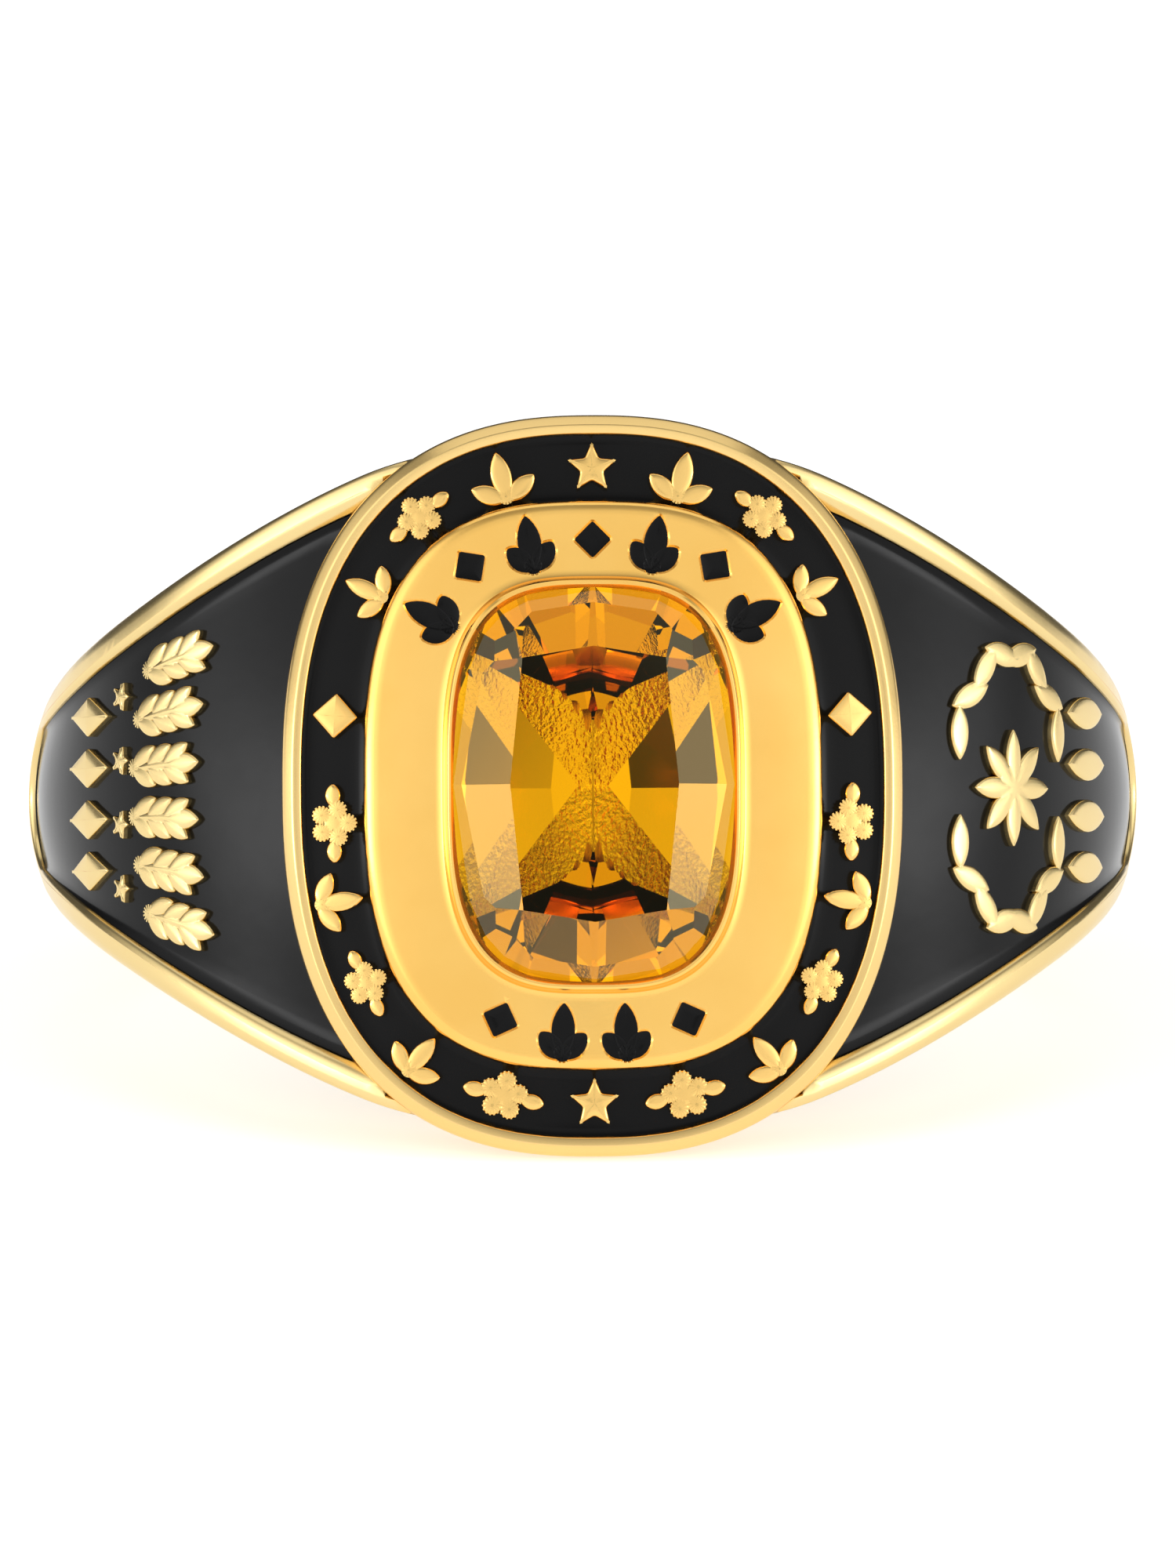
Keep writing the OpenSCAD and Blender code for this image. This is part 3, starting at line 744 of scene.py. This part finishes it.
def row_half(angle):
    """Half the length that a row of ornaments has between the rails."""
    z = OUTER_Z + OUTER_R * math.cos(math.radians(angle))
    return float(panel_half_width(z, 0)) - PANEL_MARGIN


def row_shares(count):
    """Middles of equal steps along a row, from -1 to 1."""
    return [(2 * i + 1) / count - 1 for i in range(count)]


# Places of the rows on a shoulder, as angles round the finger from the middle of the face
SPRAY_ROW, SPRAYS = 49.4, 6
SPRAY_TILT, SPRAY_BOW = 16, 3.2
STAR_ROW, TAIL_ROW, ROW_COUNT = 56.8, 63.6, 4


def left_forms():
    """A row of six sprays, a row of four stars and a row of four lozenges."""
    forms = []
    half = row_half(SPRAY_ROW)
    for share in row_shares(SPRAYS):
        forms += moved(spray(2 * 1.96 * half / SPRAYS), 90 - SPRAY_TILT * share,
                       shoulder_spot(SPRAY_ROW - SPRAY_BOW * share ** 2, half * share))
    half = row_half(STAR_ROW)
    for share in row_shares(ROW_COUNT):
        forms += moved(star(half / ROW_COUNT), 90, shoulder_spot(STAR_ROW, half * share))
    half = row_half(TAIL_ROW)
    for share in row_shares(ROW_COUNT):
        forms += moved(lozenge(2 * 1.7 * half / ROW_COUNT, 0.46), 0,
                       shoulder_spot(TAIL_ROW, half * share))
    return forms


WREATH_ROW, WREATH_LEAVES = 49, 8
WREATH_FIRST, WREATH_SWAY = 24, 24
WREATH_REACH, WREATH_SHARE = 8.8, 0.84
RAYS = 8


def right_forms():
    """A wreath of leaves round a rayed rosette, and a row of four leaves."""
    forms = []
    half = row_half(WREATH_ROW)
    for side in (-1, 1):
        for i in range(WREATH_LEAVES):
            a = WREATH_FIRST + (180 - 2 * WREATH_FIRST) * i / (WREATH_LEAVES - 1)
            c, s = unit(a)
            sway = WREATH_SWAY if i % 2 == 0 else -WREATH_SWAY
            blade = moved(leaf(0.36 * half, 0.15 * half), 0, (0, -0.18 * half))
            forms += moved(blade, side * (90 - a + sway) - 90,
                           shoulder_spot(WREATH_ROW - WREATH_REACH * c,
                                         side * WREATH_SHARE * half * s))
    rosette = disc(0.16 * half, 20)
    for i in range(RAYS):
        rosette += moved(leaf(0.37 * half, 0.14 * half), 360 / RAYS * i)
    forms += moved(rosette, 0, shoulder_spot(WREATH_ROW, 0))
    half = row_half(TAIL_ROW)
    for share in row_shares(ROW_COUNT):
        blade = moved(leaf(0.86 * half, 0.32 * half), 0, (0, -0.43 * half))
        forms += moved(blade, -90, shoulder_spot(TAIL_ROW, half * share))
    return forms


ornaments = [raised(outline, rib, place_on_face, *CHANNEL_RELIEF)
             for outline, rib in channel_forms()]
for side, forms in ((-1, left_forms()), (1, right_forms())):
    ornaments += [raised(outline, rib, on_shoulder(side), *PANEL_RELIEF)
                  for outline, rib in forms]


# ---- Marks in the plate ----
# Small sprigs and lozenges engraved in the plate round the stone, seven above and four below.
# The cutter left a bright bevel along their edges, and black enamel was wiped into them.

MARK_DEPTH = 0.3
MARK_SIZE = 1.2
MARK_LOZENGE_SIZE = 0.66 * MARK_SIZE
MARK_STEP = 14.6
MARK_BEVEL = 0.045
TOP_MARKS = [upright_sprig, lozenge] * 3 + [upright_sprig]
LOW_MARKS = [lozenge, upright_sprig, upright_sprig, lozenge]


def mark_forms():
    """Outlines of the marks, each row centred over or under the stone."""
    forms = []
    for row, middle, flip in ((TOP_MARKS, 90, 0), (LOW_MARKS, -90, 180)):
        for i, kind in enumerate(row):
            angle = middle + MARK_STEP * (i - (len(row) - 1) / 2)
            centre, turn, _ = midway(PLATE_HALF, PLATE_N, LIP_HALF, STONE_N, angle)
            size = MARK_LOZENGE_SIZE if kind is lozenge else MARK_SIZE
            forms += moved(kind(size), turn + flip, centre)
    return forms


def mark_cut(outline):
    """What the cutter takes out of the plate: an upright wall with a bevelled upper edge."""
    outline = rounded(outline)
    rings = [place_on_face(outline, PLATE_RISE - MARK_DEPTH),
             place_on_face(outline, PLATE_RISE - MARK_BEVEL),
             place_on_face(shrunk(outline, -MARK_BEVEL), PLATE_RISE),
             place_on_face(shrunk(outline, -2 * MARK_BEVEL), PLATE_RISE + MARK_BEVEL)]
    middle = outline.mean(0)[None]
    return loft("mark", rings, place_on_face(middle, PLATE_RISE - MARK_DEPTH)[0],
                place_on_face(middle, PLATE_RISE + MARK_BEVEL)[0])


marks = [mark_cut(outline) for outline, _ in mark_forms()]


# ---- Ring casting ----
# Band, head and ornaments are one piece of yellow gold, cast in one flask. The polished metal
# has a fine grain from the buffing wheel, and painted shade darkens its deepest corners to brown.


def worked(body, tools, operation):
    """Joins tools to a body, or cuts them from it, and removes them."""
    group = bpy.data.collections.new("tools")
    for tool in tools:
        bpy.context.scene.collection.objects.unlink(tool)
        group.objects.link(tool)
    bpy.context.scene.collection.children.link(group)
    step = body.modifiers.new("step", "BOOLEAN")
    step.operation = operation
    step.solver = "MANIFOLD"
    step.operand_type = "COLLECTION"
    step.collection = group
    bpy.context.view_layer.update()
    shape = body.evaluated_get(bpy.context.evaluated_depsgraph_get())
    result = bpy.data.meshes.new_from_object(shape)
    body.modifiers.remove(step)
    result.materials.clear()
    old, body.data = body.data, result
    bpy.data.meshes.remove(old)
    for tool in tools:
        mesh = tool.data
        bpy.data.objects.remove(tool)
        bpy.data.meshes.remove(mesh)
    bpy.data.collections.remove(group)
    return body


# Turns the ring from its drawing to where it lies, in metres
REST_TILT = math.atan((HEAD_HALF[1] - SHANK_HALF) / (SKIRT_Z + BACK_R))
LAID = Matrix.Rotation(math.pi / 2 - REST_TILT, 4, "X") @ Matrix.Scale(0.001, 4)
SHARP_METAL = 32
SHARP_FILL = 40


def set_down(piece, name, sharp_angle):
    """Puts a finished piece where the ring lies and smooths it between its sharp edges."""
    piece.name = piece.data.name = name
    piece.data.transform(LAID)
    for face in piece.data.polygons:
        face.use_smooth = True
    piece.data.set_sharp_from_angle(angle=math.radians(sharp_angle))
    return piece


casting = worked(band, hollows, "DIFFERENCE")
casting = worked(casting, [head] + ornaments, "UNION")
casting = worked(casting, marks, "DIFFERENCE")
set_down(casting, "ring_body", SHARP_METAL)


def shader(name):
    """A new material: the material, its nodes and its main shader."""
    material = bpy.data.materials.new(name)
    material.use_nodes = True
    return material, material.node_tree, material.node_tree.nodes["Principled BSDF"]


def feed(tree, node, inputs):
    """Sets a node's inputs, each to a value, a colour or the output of another node."""
    for name, value in inputs.items():
        socket = node.inputs[name]
        if isinstance(value, bpy.types.NodeSocket):
            tree.links.new(value, socket)
        else:
            socket.default_value = (*value, 1) if socket.type == "RGBA" else value


def add(tree, kind, inputs, output, **settings):
    """Adds a node and gives one of its outputs."""
    node = tree.nodes.new("ShaderNode" + kind)
    for name, value in settings.items():
        setattr(node, name, value)
    feed(tree, node, inputs)
    return node.outputs[output]


def noise(tree, scale, detail):
    """A cloudy pattern, with its scale per metre."""
    place = add(tree, "TexCoord", {}, "Object")
    return add(tree, "TexNoise", {"Vector": place, "Scale": scale, "Detail": detail}, "Fac")


def ramp(tree, source, stops):
    """Turns a pattern into colours, from stops of a place and a colour."""
    node = tree.nodes.new("ShaderNodeValToRGB")
    for element, (place, colour) in zip(node.color_ramp.elements, stops):
        element.position = place
        element.color = (*colour, 1)
    tree.links.new(source, node.inputs["Fac"])
    return node.outputs["Color"]


def spread(tree, source, low, high):
    """Turns a pattern into numbers between two values."""
    return add(tree, "MapRange", {"Value": source, "To Min": low, "To Max": high}, "Result")


def bump(tree, height, distance, **under):
    """Relief from a pattern, to a distance in metres, and over another relief if one is given."""
    return add(tree, "Bump", {"Strength": 1.0, "Distance": distance, "Height": height, **under},
               "Normal")


def blend(tree, share, first, second):
    """Mixes two colours, each a colour or the output of a node."""
    return add(tree, "Mix", {"Factor": share, "A": first, "B": second}, "Result",
               data_type="RGBA")


def number(tree, operation, *values):
    """A sum in nodes, of numbers or outputs."""
    return add(tree, "Math", dict(enumerate(values)), "Value", operation=operation)


# How much of the brushed finish the ornaments and the head's side have; the band has it all.
# The brushed gold is rougher, and its paler colour is partly painted highlight
SATIN_HIGHLIGHT_ORNAMENTS = 0.3
SATIN_HIGHLIGHT_HEAD_SIDE = 0.65
FACE_LAYER = 1.5
HEAD_SIDE_FROM = 4
BORE_LAYER = 0.5


def mark_satin_and_highlight(piece):
    """Notes where the gold is brushed, and painted paler as a highlight: the rim and the band, and
    a little on the ornaments.
    """
    x, y, z = np.array([tuple(LAID.inverted() @ v.co) for v in piece.data.vertices]).T
    on_face = z > face_z(np.clip(x, -HEAD_REACH, HEAD_REACH), y, -FACE_LAYER)
    in_rim = oval_share(x, y, CHANNEL_HALF - 0.02, HEAD_N) <= 1
    off_plate = oval_share(x, y, PLATE_HALF + 0.05, PLATE_N) > 1
    in_head = (z > HEAD_SIDE_FROM) & (oval_share(x, y, HEAD_HALF + 0.05, HEAD_N) <= 1)
    head_side = in_head & (np.hypot(x, z) > BORE_R + BORE_LAYER)
    satin_and_highlight = np.where(on_face & in_rim, np.where(off_plate, SATIN_HIGHLIGHT_ORNAMENTS, 0.0),
                     np.where(head_side, SATIN_HIGHLIGHT_HEAD_SIDE, 1.0))
    place = piece.data.attributes.new("satin_and_highlight", "FLOAT", "POINT")
    place.data.foreach_set("value", satin_and_highlight.astype(np.float32))


GOLD = (1.0, 0.62, 0.17)
GOLD_DEEP = (0.96, 0.57, 0.14)
# Brushed gold: its paler, whiter colour is partly painted highlight
GOLD_SATIN_HIGHLIGHT = (0.84, 0.64, 0.29)
# Painted shade: the brown that the gold turns in its deepest corners, and how far the occlusion
# looks
GOLD_CORNER_SHADE = (0.3, 0.15, 0.03)
CORNER_SHADE_REACH = 0.00012
# Patterns of the gold, as scale per metre and detail: tint, polish, waves and buffing grain
GOLD_TINT, GOLD_POLISH, GOLD_WAVES, GOLD_GRAIN = (350, 3), (1800, 4), (700, 2), (14000, 3)
GOLD_ROUGHNESS = (0.13, 0.22)
SATIN_ROUGHNESS = 0.07
WAVE_HEIGHT = 2.2e-6
GRAIN_HEIGHT = 6e-7


def gold():
    material, tree, main = shader("polished_gold")
    brushed_and_highlight = add(tree, "Attribute", {}, "Fac", attribute_name="satin_and_highlight")
    colour = ramp(tree, noise(tree, *GOLD_TINT), [(0.35, GOLD_DEEP), (0.65, GOLD)])
    # Painted highlight, in part: the brushed parts take a paler, whiter gold
    colour = blend(tree, brushed_and_highlight, colour, GOLD_SATIN_HIGHLIGHT)
    # Painted shade: the base colour turns dark brown where ambient occlusion finds the gold closed
    # in
    openness = add(tree, "AmbientOcclusion", {"Distance": CORNER_SHADE_REACH}, "AO", samples=8,
                   only_local=True)
    corner = ramp(tree, openness, [(0.25, (1, 1, 1)), (0.6, (0, 0, 0))])
    grain = bump(tree, noise(tree, *GOLD_GRAIN), GRAIN_HEIGHT)
    feed(tree, main, {
        "Base Color": blend(tree, corner, colour, GOLD_CORNER_SHADE),
        "Metallic": 1.0,
        "Roughness": number(tree, "ADD", spread(tree, noise(tree, *GOLD_POLISH), *GOLD_ROUGHNESS),
                            spread(tree, brushed_and_highlight, 0.0, SATIN_ROUGHNESS)),
        "Normal": bump(tree, noise(tree, *GOLD_WAVES), WAVE_HEIGHT, Normal=grain)})
    return material


mark_satin_and_highlight(casting)
casting.data.materials.append(gold())
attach(casting, "root")
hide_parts("ring_casting")


# ---- Channel enamel ----
# Black enamel poured round the face between the rim and the plate. It creeps up a little where
# it wets the metal, and it is polished to a gloss.

CHANNEL_FILL_DROP = 0.35
FILL_GAP = 0.004
CREEP = 0.05
CREEP_REACH = 0.07


def channel_fill():
    """Rings across the top of the fill from the rim to the plate, and back along its floor."""
    outer_x, outer_y = oval_xy(CHANNEL_HALF - FILL_GAP, HEAD_N)
    inner_x, inner_y = oval_xy(PLATE_HALF + FILL_GAP, PLATE_N)
    span = np.hypot(outer_x - inner_x, outer_y - inner_y)
    rings = []
    for s in (0, 0.02, 0.05, 0.09, 0.15, 0.25, 0.38, 0.5, 0.62, 0.75, 0.85, 0.91, 0.95, 0.98, 1):
        x, y = outer_x + (inner_x - outer_x) * s, outer_y + (inner_y - outer_y) * s
        wet = CREEP * np.exp(-span * min(s, 1 - s) / CREEP_REACH)
        rings.append(np.stack([x, y, face_z(x, y, -CHANNEL_FILL_DROP) + wet], 1))
    for s in (1, 0.5, 0):
        x, y = outer_x + (inner_x - outer_x) * s, outer_y + (inner_y - outer_y) * s
        rings.append(np.stack([x, y, face_z(x, y, FIT_GAP - CHANNEL_DEPTH)], 1))
    return loft("channel_fill", rings)


BLACK = (0.0015, 0.0015, 0.0016)
BLACK_THIN = (0.004, 0.004, 0.0042)
ENAMEL_ROUGHNESS = (0.12, 0.2)
ENAMEL_RIPPLE = 1.2e-6


def enamel():
    material, tree, main = shader("black_enamel")
    feed(tree, main, {
        "Base Color": ramp(tree, noise(tree, 260, 2), [(0.3, BLACK), (0.7, BLACK_THIN)]),
        "Roughness": spread(tree, noise(tree, 900, 3), *ENAMEL_ROUGHNESS),
        "Normal": bump(tree, noise(tree, 1500, 2), ENAMEL_RIPPLE),
        "IOR": 1.24})
    return material


black_enamel = enamel()
channel = set_down(channel_fill(), "channel_fill", SHARP_FILL)
channel.data.materials.append(black_enamel)
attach(channel, "root")
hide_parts("channel_enamel")


# ---- Shoulder enamel ----
# The same black enamel in the hollow of each shoulder, poured from the tail towards the head.
# Its surface creeps up the rails, and near the head it is a little crowned.

PANEL_FILL_DROP = 0.2
PANEL_FILL_INSET = 0.2
PANEL_CREEP_REACH = 0.08
PANEL_CROWN = 0.16
CROWN_FROM = 4.2
CROWN_GROWTH = 2


def shoulder_fill(side):
    low, high = (panel_sheet(side, OUTER_R - depth, -FILL_GAP, PANEL_FILL_INSET)
                 for depth in (PANEL_DEPTH - FIT_GAP, PANEL_FILL_DROP))
    v = np.sin(np.linspace(-math.pi / 2, math.pi / 2, PANEL_COLUMNS))[None, :]
    half = np.abs(high[:, -1:, 1])
    rise = CREEP * np.exp(-half * (1 - np.abs(v)) / PANEL_CREEP_REACH)
    fullness = np.clip((half - CROWN_FROM) / CROWN_GROWTH, 0, 1) ** 2
    rise = rise + PANEL_CROWN * (1 - v ** 2) * fullness
    way = np.stack([high[..., 0], np.zeros(high.shape[:2]), high[..., 2] - OUTER_Z], -1)
    way /= np.linalg.norm(way, axis=-1, keepdims=True)
    return slab("shoulder_fill", [low, high + rise[..., None] * way])


for side, name, node in ((-1, "left_shoulder_fill", "left_panel_enamel"),
                         (1, "right_shoulder_fill", "right_panel_enamel")):
    fill = set_down(shoulder_fill(side), name, SHARP_FILL)
    fill.data.materials.append(black_enamel)
    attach(fill, "root")
    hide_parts(node)


# ---- Plate inlays ----
# Black enamel wiped into the engraved marks of the plate. It is rubbed down just under the
# surface of the gold, and lies a little lower in the middle of each mark.

MARK_FILL_DROP = 0.05
MARK_FILL_EDGE = 0.03
MARK_FILL_DIP = 0.01
MARK_FILL_PRESS = 0.002


def mark_fill(outline):
    outline = shrunk(rounded(outline), -MARK_FILL_PRESS)
    top = PLATE_RISE - MARK_FILL_DROP
    bottom = PLATE_RISE - MARK_DEPTH + MARK_FILL_DIP
    rings = [place_on_face(outline, bottom), place_on_face(outline, top),
             place_on_face(shrunk(outline, MARK_FILL_EDGE), top - MARK_FILL_DIP)]
    middle = outline.mean(0)[None]
    return loft("fill", rings, place_on_face(middle, bottom)[0],
                place_on_face(middle, top - MARK_FILL_DIP)[0])


fills = [mark_fill(outline) for outline, _ in mark_forms()]
inlays = set_down(worked(fills[0], fills[1:], "UNION"), "mark_fills", SHARP_FILL)
inlays.data.materials.append(black_enamel)
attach(inlays, "root")
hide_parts("plate_inlays")


# ---- Stone ----
# A yellow cushion-cut stone held by the lip round its girdle. Its table and crown are polished,
# four of its deep facets keep the grain of the saw, and its keel is worn flat.

STONE_POINTS = 96


def cut_stone():
    """The outline as a block, cut by every facet in turn."""
    a = np.linspace(0, 2 * math.pi, STONE_POINTS, endpoint=False)
    r = oval_r(STONE_HALF, STONE_N, a)
    work = bmesh.new()
    rows = [[work.verts.new((r[i] * math.cos(a[i]), r[i] * math.sin(a[i]), z))
             for i in range(STONE_POINTS)] for z in (KEEL_Z, TABLE_Z)]
    work.faces.new(rows[0][::-1])
    work.faces.new(rows[1])
    for i in range(STONE_POINTS):
        n = (i + 1) % STONE_POINTS
        work.faces.new((rows[0][i], rows[0][n], rows[1][n], rows[1][i]))
    for point, normal in FACETS:
        cut = bmesh.ops.bisect_plane(work, geom=work.verts[:] + work.edges[:] + work.faces[:],
                                     plane_co=point, plane_no=normal, dist=1e-6,
                                     clear_outer=True)
        edges = [e for e in cut["geom_cut"] if isinstance(e, bmesh.types.BMEdge)]
        if edges:
            bmesh.ops.holes_fill(work, edges=edges, sides=0)
    bmesh.ops.remove_doubles(work, verts=work.verts, dist=1e-5)
    bmesh.ops.dissolve_limit(work, angle_limit=math.radians(0.2), verts=work.verts,
                             edges=work.edges)
    bmesh.ops.recalc_face_normals(work, faces=work.faces)
    mesh = bpy.data.meshes.new("stone")
    work.to_mesh(mesh)
    work.free()
    return placed("stone", mesh)


stone = cut_stone()
stone.name = stone.data.name = "cushion_stone"
stone.data.transform(LAID)


STONE_DEEP = (1.0, 0.93, 0.7)
STONE_PALE = (1.0, 0.96, 0.78)
STONE_GLINT = (1.0, 0.86, 0.5)
STONE_BODY = (0.989, 0.88, 0.0)
STONE_DENSITY = 900.0


def yellow_stone(name, rough_low, rough_high, peel):
    """Clear yellow stone. The peel is the height of the grain on a roughly polished facet."""
    material, tree, main = shader(name)
    feed(tree, main, {
        "Base Color": ramp(tree, noise(tree, 500, 2), [(0.3, STONE_DEEP), (0.7, STONE_PALE)]),
        "Roughness": spread(tree, noise(tree, 2500, 3), rough_low, rough_high),
        "Specular Tint": STONE_GLINT,
        "Transmission Weight": 1.0,
        "IOR": 1.85})
    if peel:
        feed(tree, main, {"Normal": bump(tree, noise(tree, 9000, 2), peel)})
    depth = add(tree, "VolumeAbsorption", {"Color": STONE_BODY, "Density": STONE_DENSITY},
                "Volume")
    feed(tree, tree.nodes["Material Output"], {"Volume": depth})
    return material


WORN_DEEP = (0.8, 0.7, 0.5)
WORN_PALE = (1.0, 0.96, 0.9)


def worn_keel():
    """The bright line of the worn ridge, which sends the light straight back."""
    material, tree, main = shader("worn_keel")
    feed(tree, main, {
        "Base Color": ramp(tree, noise(tree, 9000, 3), [(0.35, WORN_DEEP), (0.6, WORN_PALE)]),
        "Metallic": 1.0,
        "Roughness": spread(tree, noise(tree, 9000, 3), 0.35, 0.55)})
    return material


stone.data.materials.append(yellow_stone("yellow_stone", 0.0, 0.03, 0.0))
stone.data.materials.append(yellow_stone("yellow_stone_peel", 0.01, 0.04, 2.2e-5))
stone.data.materials.append(worn_keel())
first_wear = len(FACETS) - len(WEAR_WAYS)
first_main = first_wear - sum(len(four_ways(a)) for a, _, _ in PAVILION_MAIN)
for face in stone.data.polygons:
    facing_way = LAID.inverted().to_3x3() @ face.normal
    nearest = max(range(len(FACETS)), key=lambda i: FACETS[i][1].dot(facing_way))
    if nearest >= first_wear:
        face.material_index = 2
    elif first_main <= nearest < first_main + 4:
        face.material_index = 1
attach(stone, "root")
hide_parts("stone")


# ---- Floor, light and camera ----
# A sheet of white acrylic lit from below, in a round white tent: bright at both sides of the ring,
# even in front and dimmer above and behind. The camera looks almost straight onto the face.

FLOOR_HALF = 3
FLOOR_GLOW = 0.56

floor_mesh = bpy.data.meshes.new("floor")
floor_z = cad_bounds[0][2]
floor_mesh.from_pydata([(x * FLOOR_HALF, y * FLOOR_HALF, floor_z)
                        for x, y in ((-1, -1), (1, -1), (1, 1), (-1, 1))], [], [(0, 1, 2, 3)])
floor = placed("floor", floor_mesh)
material, tree, main = shader("pale_floor")
sheet = ramp(tree, noise(tree, 40, 2), [(0.3, (0.88, 0.88, 0.88)), (0.7, (0.9, 0.9, 0.9))])
feed(tree, main, {"Base Color": sheet, "Emission Color": sheet, "Emission Strength": FLOOR_GLOW,
                  "Roughness": 0.9, "Specular IOR Level": 0.1})
floor_mesh.materials.append(material)


def in_front(x, y, z):
    """A place given as right, up and towards the camera in mm, seen square to the ring's face."""
    return LAID @ Vector((x, y, z))


def look_at(piece, target):
    """Turns a light or a camera towards a place."""
    piece.rotation_euler = (target - piece.location).to_track_quat("-Z", "Y").to_euler()


SOFTBOX_SIZE = (0.52, 0.42)
SOFTBOX_GLOW = 0.62
light = bpy.data.lights.new("top_softbox", "AREA")
light.shape = "RECTANGLE"
light.size, light.size_y = SOFTBOX_SIZE
light.energy = SOFTBOX_GLOW * math.pi * light.size * light.size_y
softbox = placed("top_softbox", light)
softbox.location = in_front(0, 420, 20)
look_at(softbox, in_front(0, 0, 8))

world = bpy.data.worlds.new("studio")
world.use_nodes = True
bpy.context.scene.world = world
sky = world.node_tree


def fade(value, start, end):
    """0 before the start and 1 after the end, with soft shoulders."""
    return add(sky, "MapRange", {"Value": value, "From Min": start, "From Max": end}, "Result",
               interpolation_type="SMOOTHSTEP")


def unless(share):
    return number(sky, "SUBTRACT", 1.0, share)


def patch(strength, *shares):
    """A lit part of the tent: its strength times how far each share of it reaches."""
    for share in shares:
        strength = number(sky, "MULTIPLY", strength, share)
    return strength


# Directions in the tent: to the right, up, and towards the camera, as seen from the ring's face
way = add(sky, "TexCoord", {}, "Generated")
turned_way = add(sky, "Mapping", {"Vector": way, "Rotation": (REST_TILT - math.pi / 2, 0, 0)},
                 "Vector")
right, up, ahead = (add(sky, "SeparateXYZ", {"Vector": turned_way}, axis) for axis in "XYZ")
aside = number(sky, "ABSOLUTE", right)
height = number(sky, "ABSOLUTE", up)
forward = fade(ahead, -0.5, 0.3)
off_axis = number(sky, "SQRT", number(sky, "ADD", number(sky, "POWER", right, 2.0),
                                      number(sky, "POWER", up, 2.0)))

# The tent's even front, its middle band, its sides, and a bright strip low at each side. A dark
# hole in its front is for the lens, and a little light comes from everywhere.
parts = [patch(0.3, forward),
         patch(0.58, forward, unless(fade(height, 0.1, 0.65))),
         patch(0.8, forward, fade(aside, 0.3, 0.65), unless(fade(height, 0.55, 0.8))),
         patch(5.0, forward, fade(aside, 0.6, 0.88), unless(fade(height, 0.0, 0.1)))]
glow = parts[0]
for part in parts[1:]:
    glow = number(sky, "ADD", glow, part)
glow = number(sky, "ADD", patch(glow, fade(off_axis, 0.03, 0.055)), 0.1)
feed(sky, sky.nodes["Background"], {"Strength": glow, "Color": (1, 1, 1)})

# The camera looks at a place on the face from a little to its left and below it
AIM_X, AIM_Y = -0.117, 0.025
VIEW_DISTANCE = 400.0
VIEW_LEFT = math.radians(1.03)
VIEW_BELOW = math.radians(1.3)
PHOTO_HEIGHT = 2000
PIXELS_PER_MM = 60
SENSOR = 36
camera_data = bpy.data.cameras.new("camera")
camera_data.sensor_width = SENSOR
camera_data.sensor_fit = "AUTO"
camera_data.lens = SENSOR * VIEW_DISTANCE * PIXELS_PER_MM / PHOTO_HEIGHT
camera_data.clip_start = 0.01
camera = placed("camera", camera_data)
camera.location = in_front(AIM_X - VIEW_DISTANCE * math.sin(VIEW_LEFT),
                           AIM_Y - VIEW_DISTANCE * math.sin(VIEW_BELOW), RIM_TOP + VIEW_DISTANCE)
look_at(camera, in_front(AIM_X, AIM_Y, RIM_TOP))
bpy.context.scene.camera = camera
bpy.context.scene.view_settings.view_transform = "Standard"
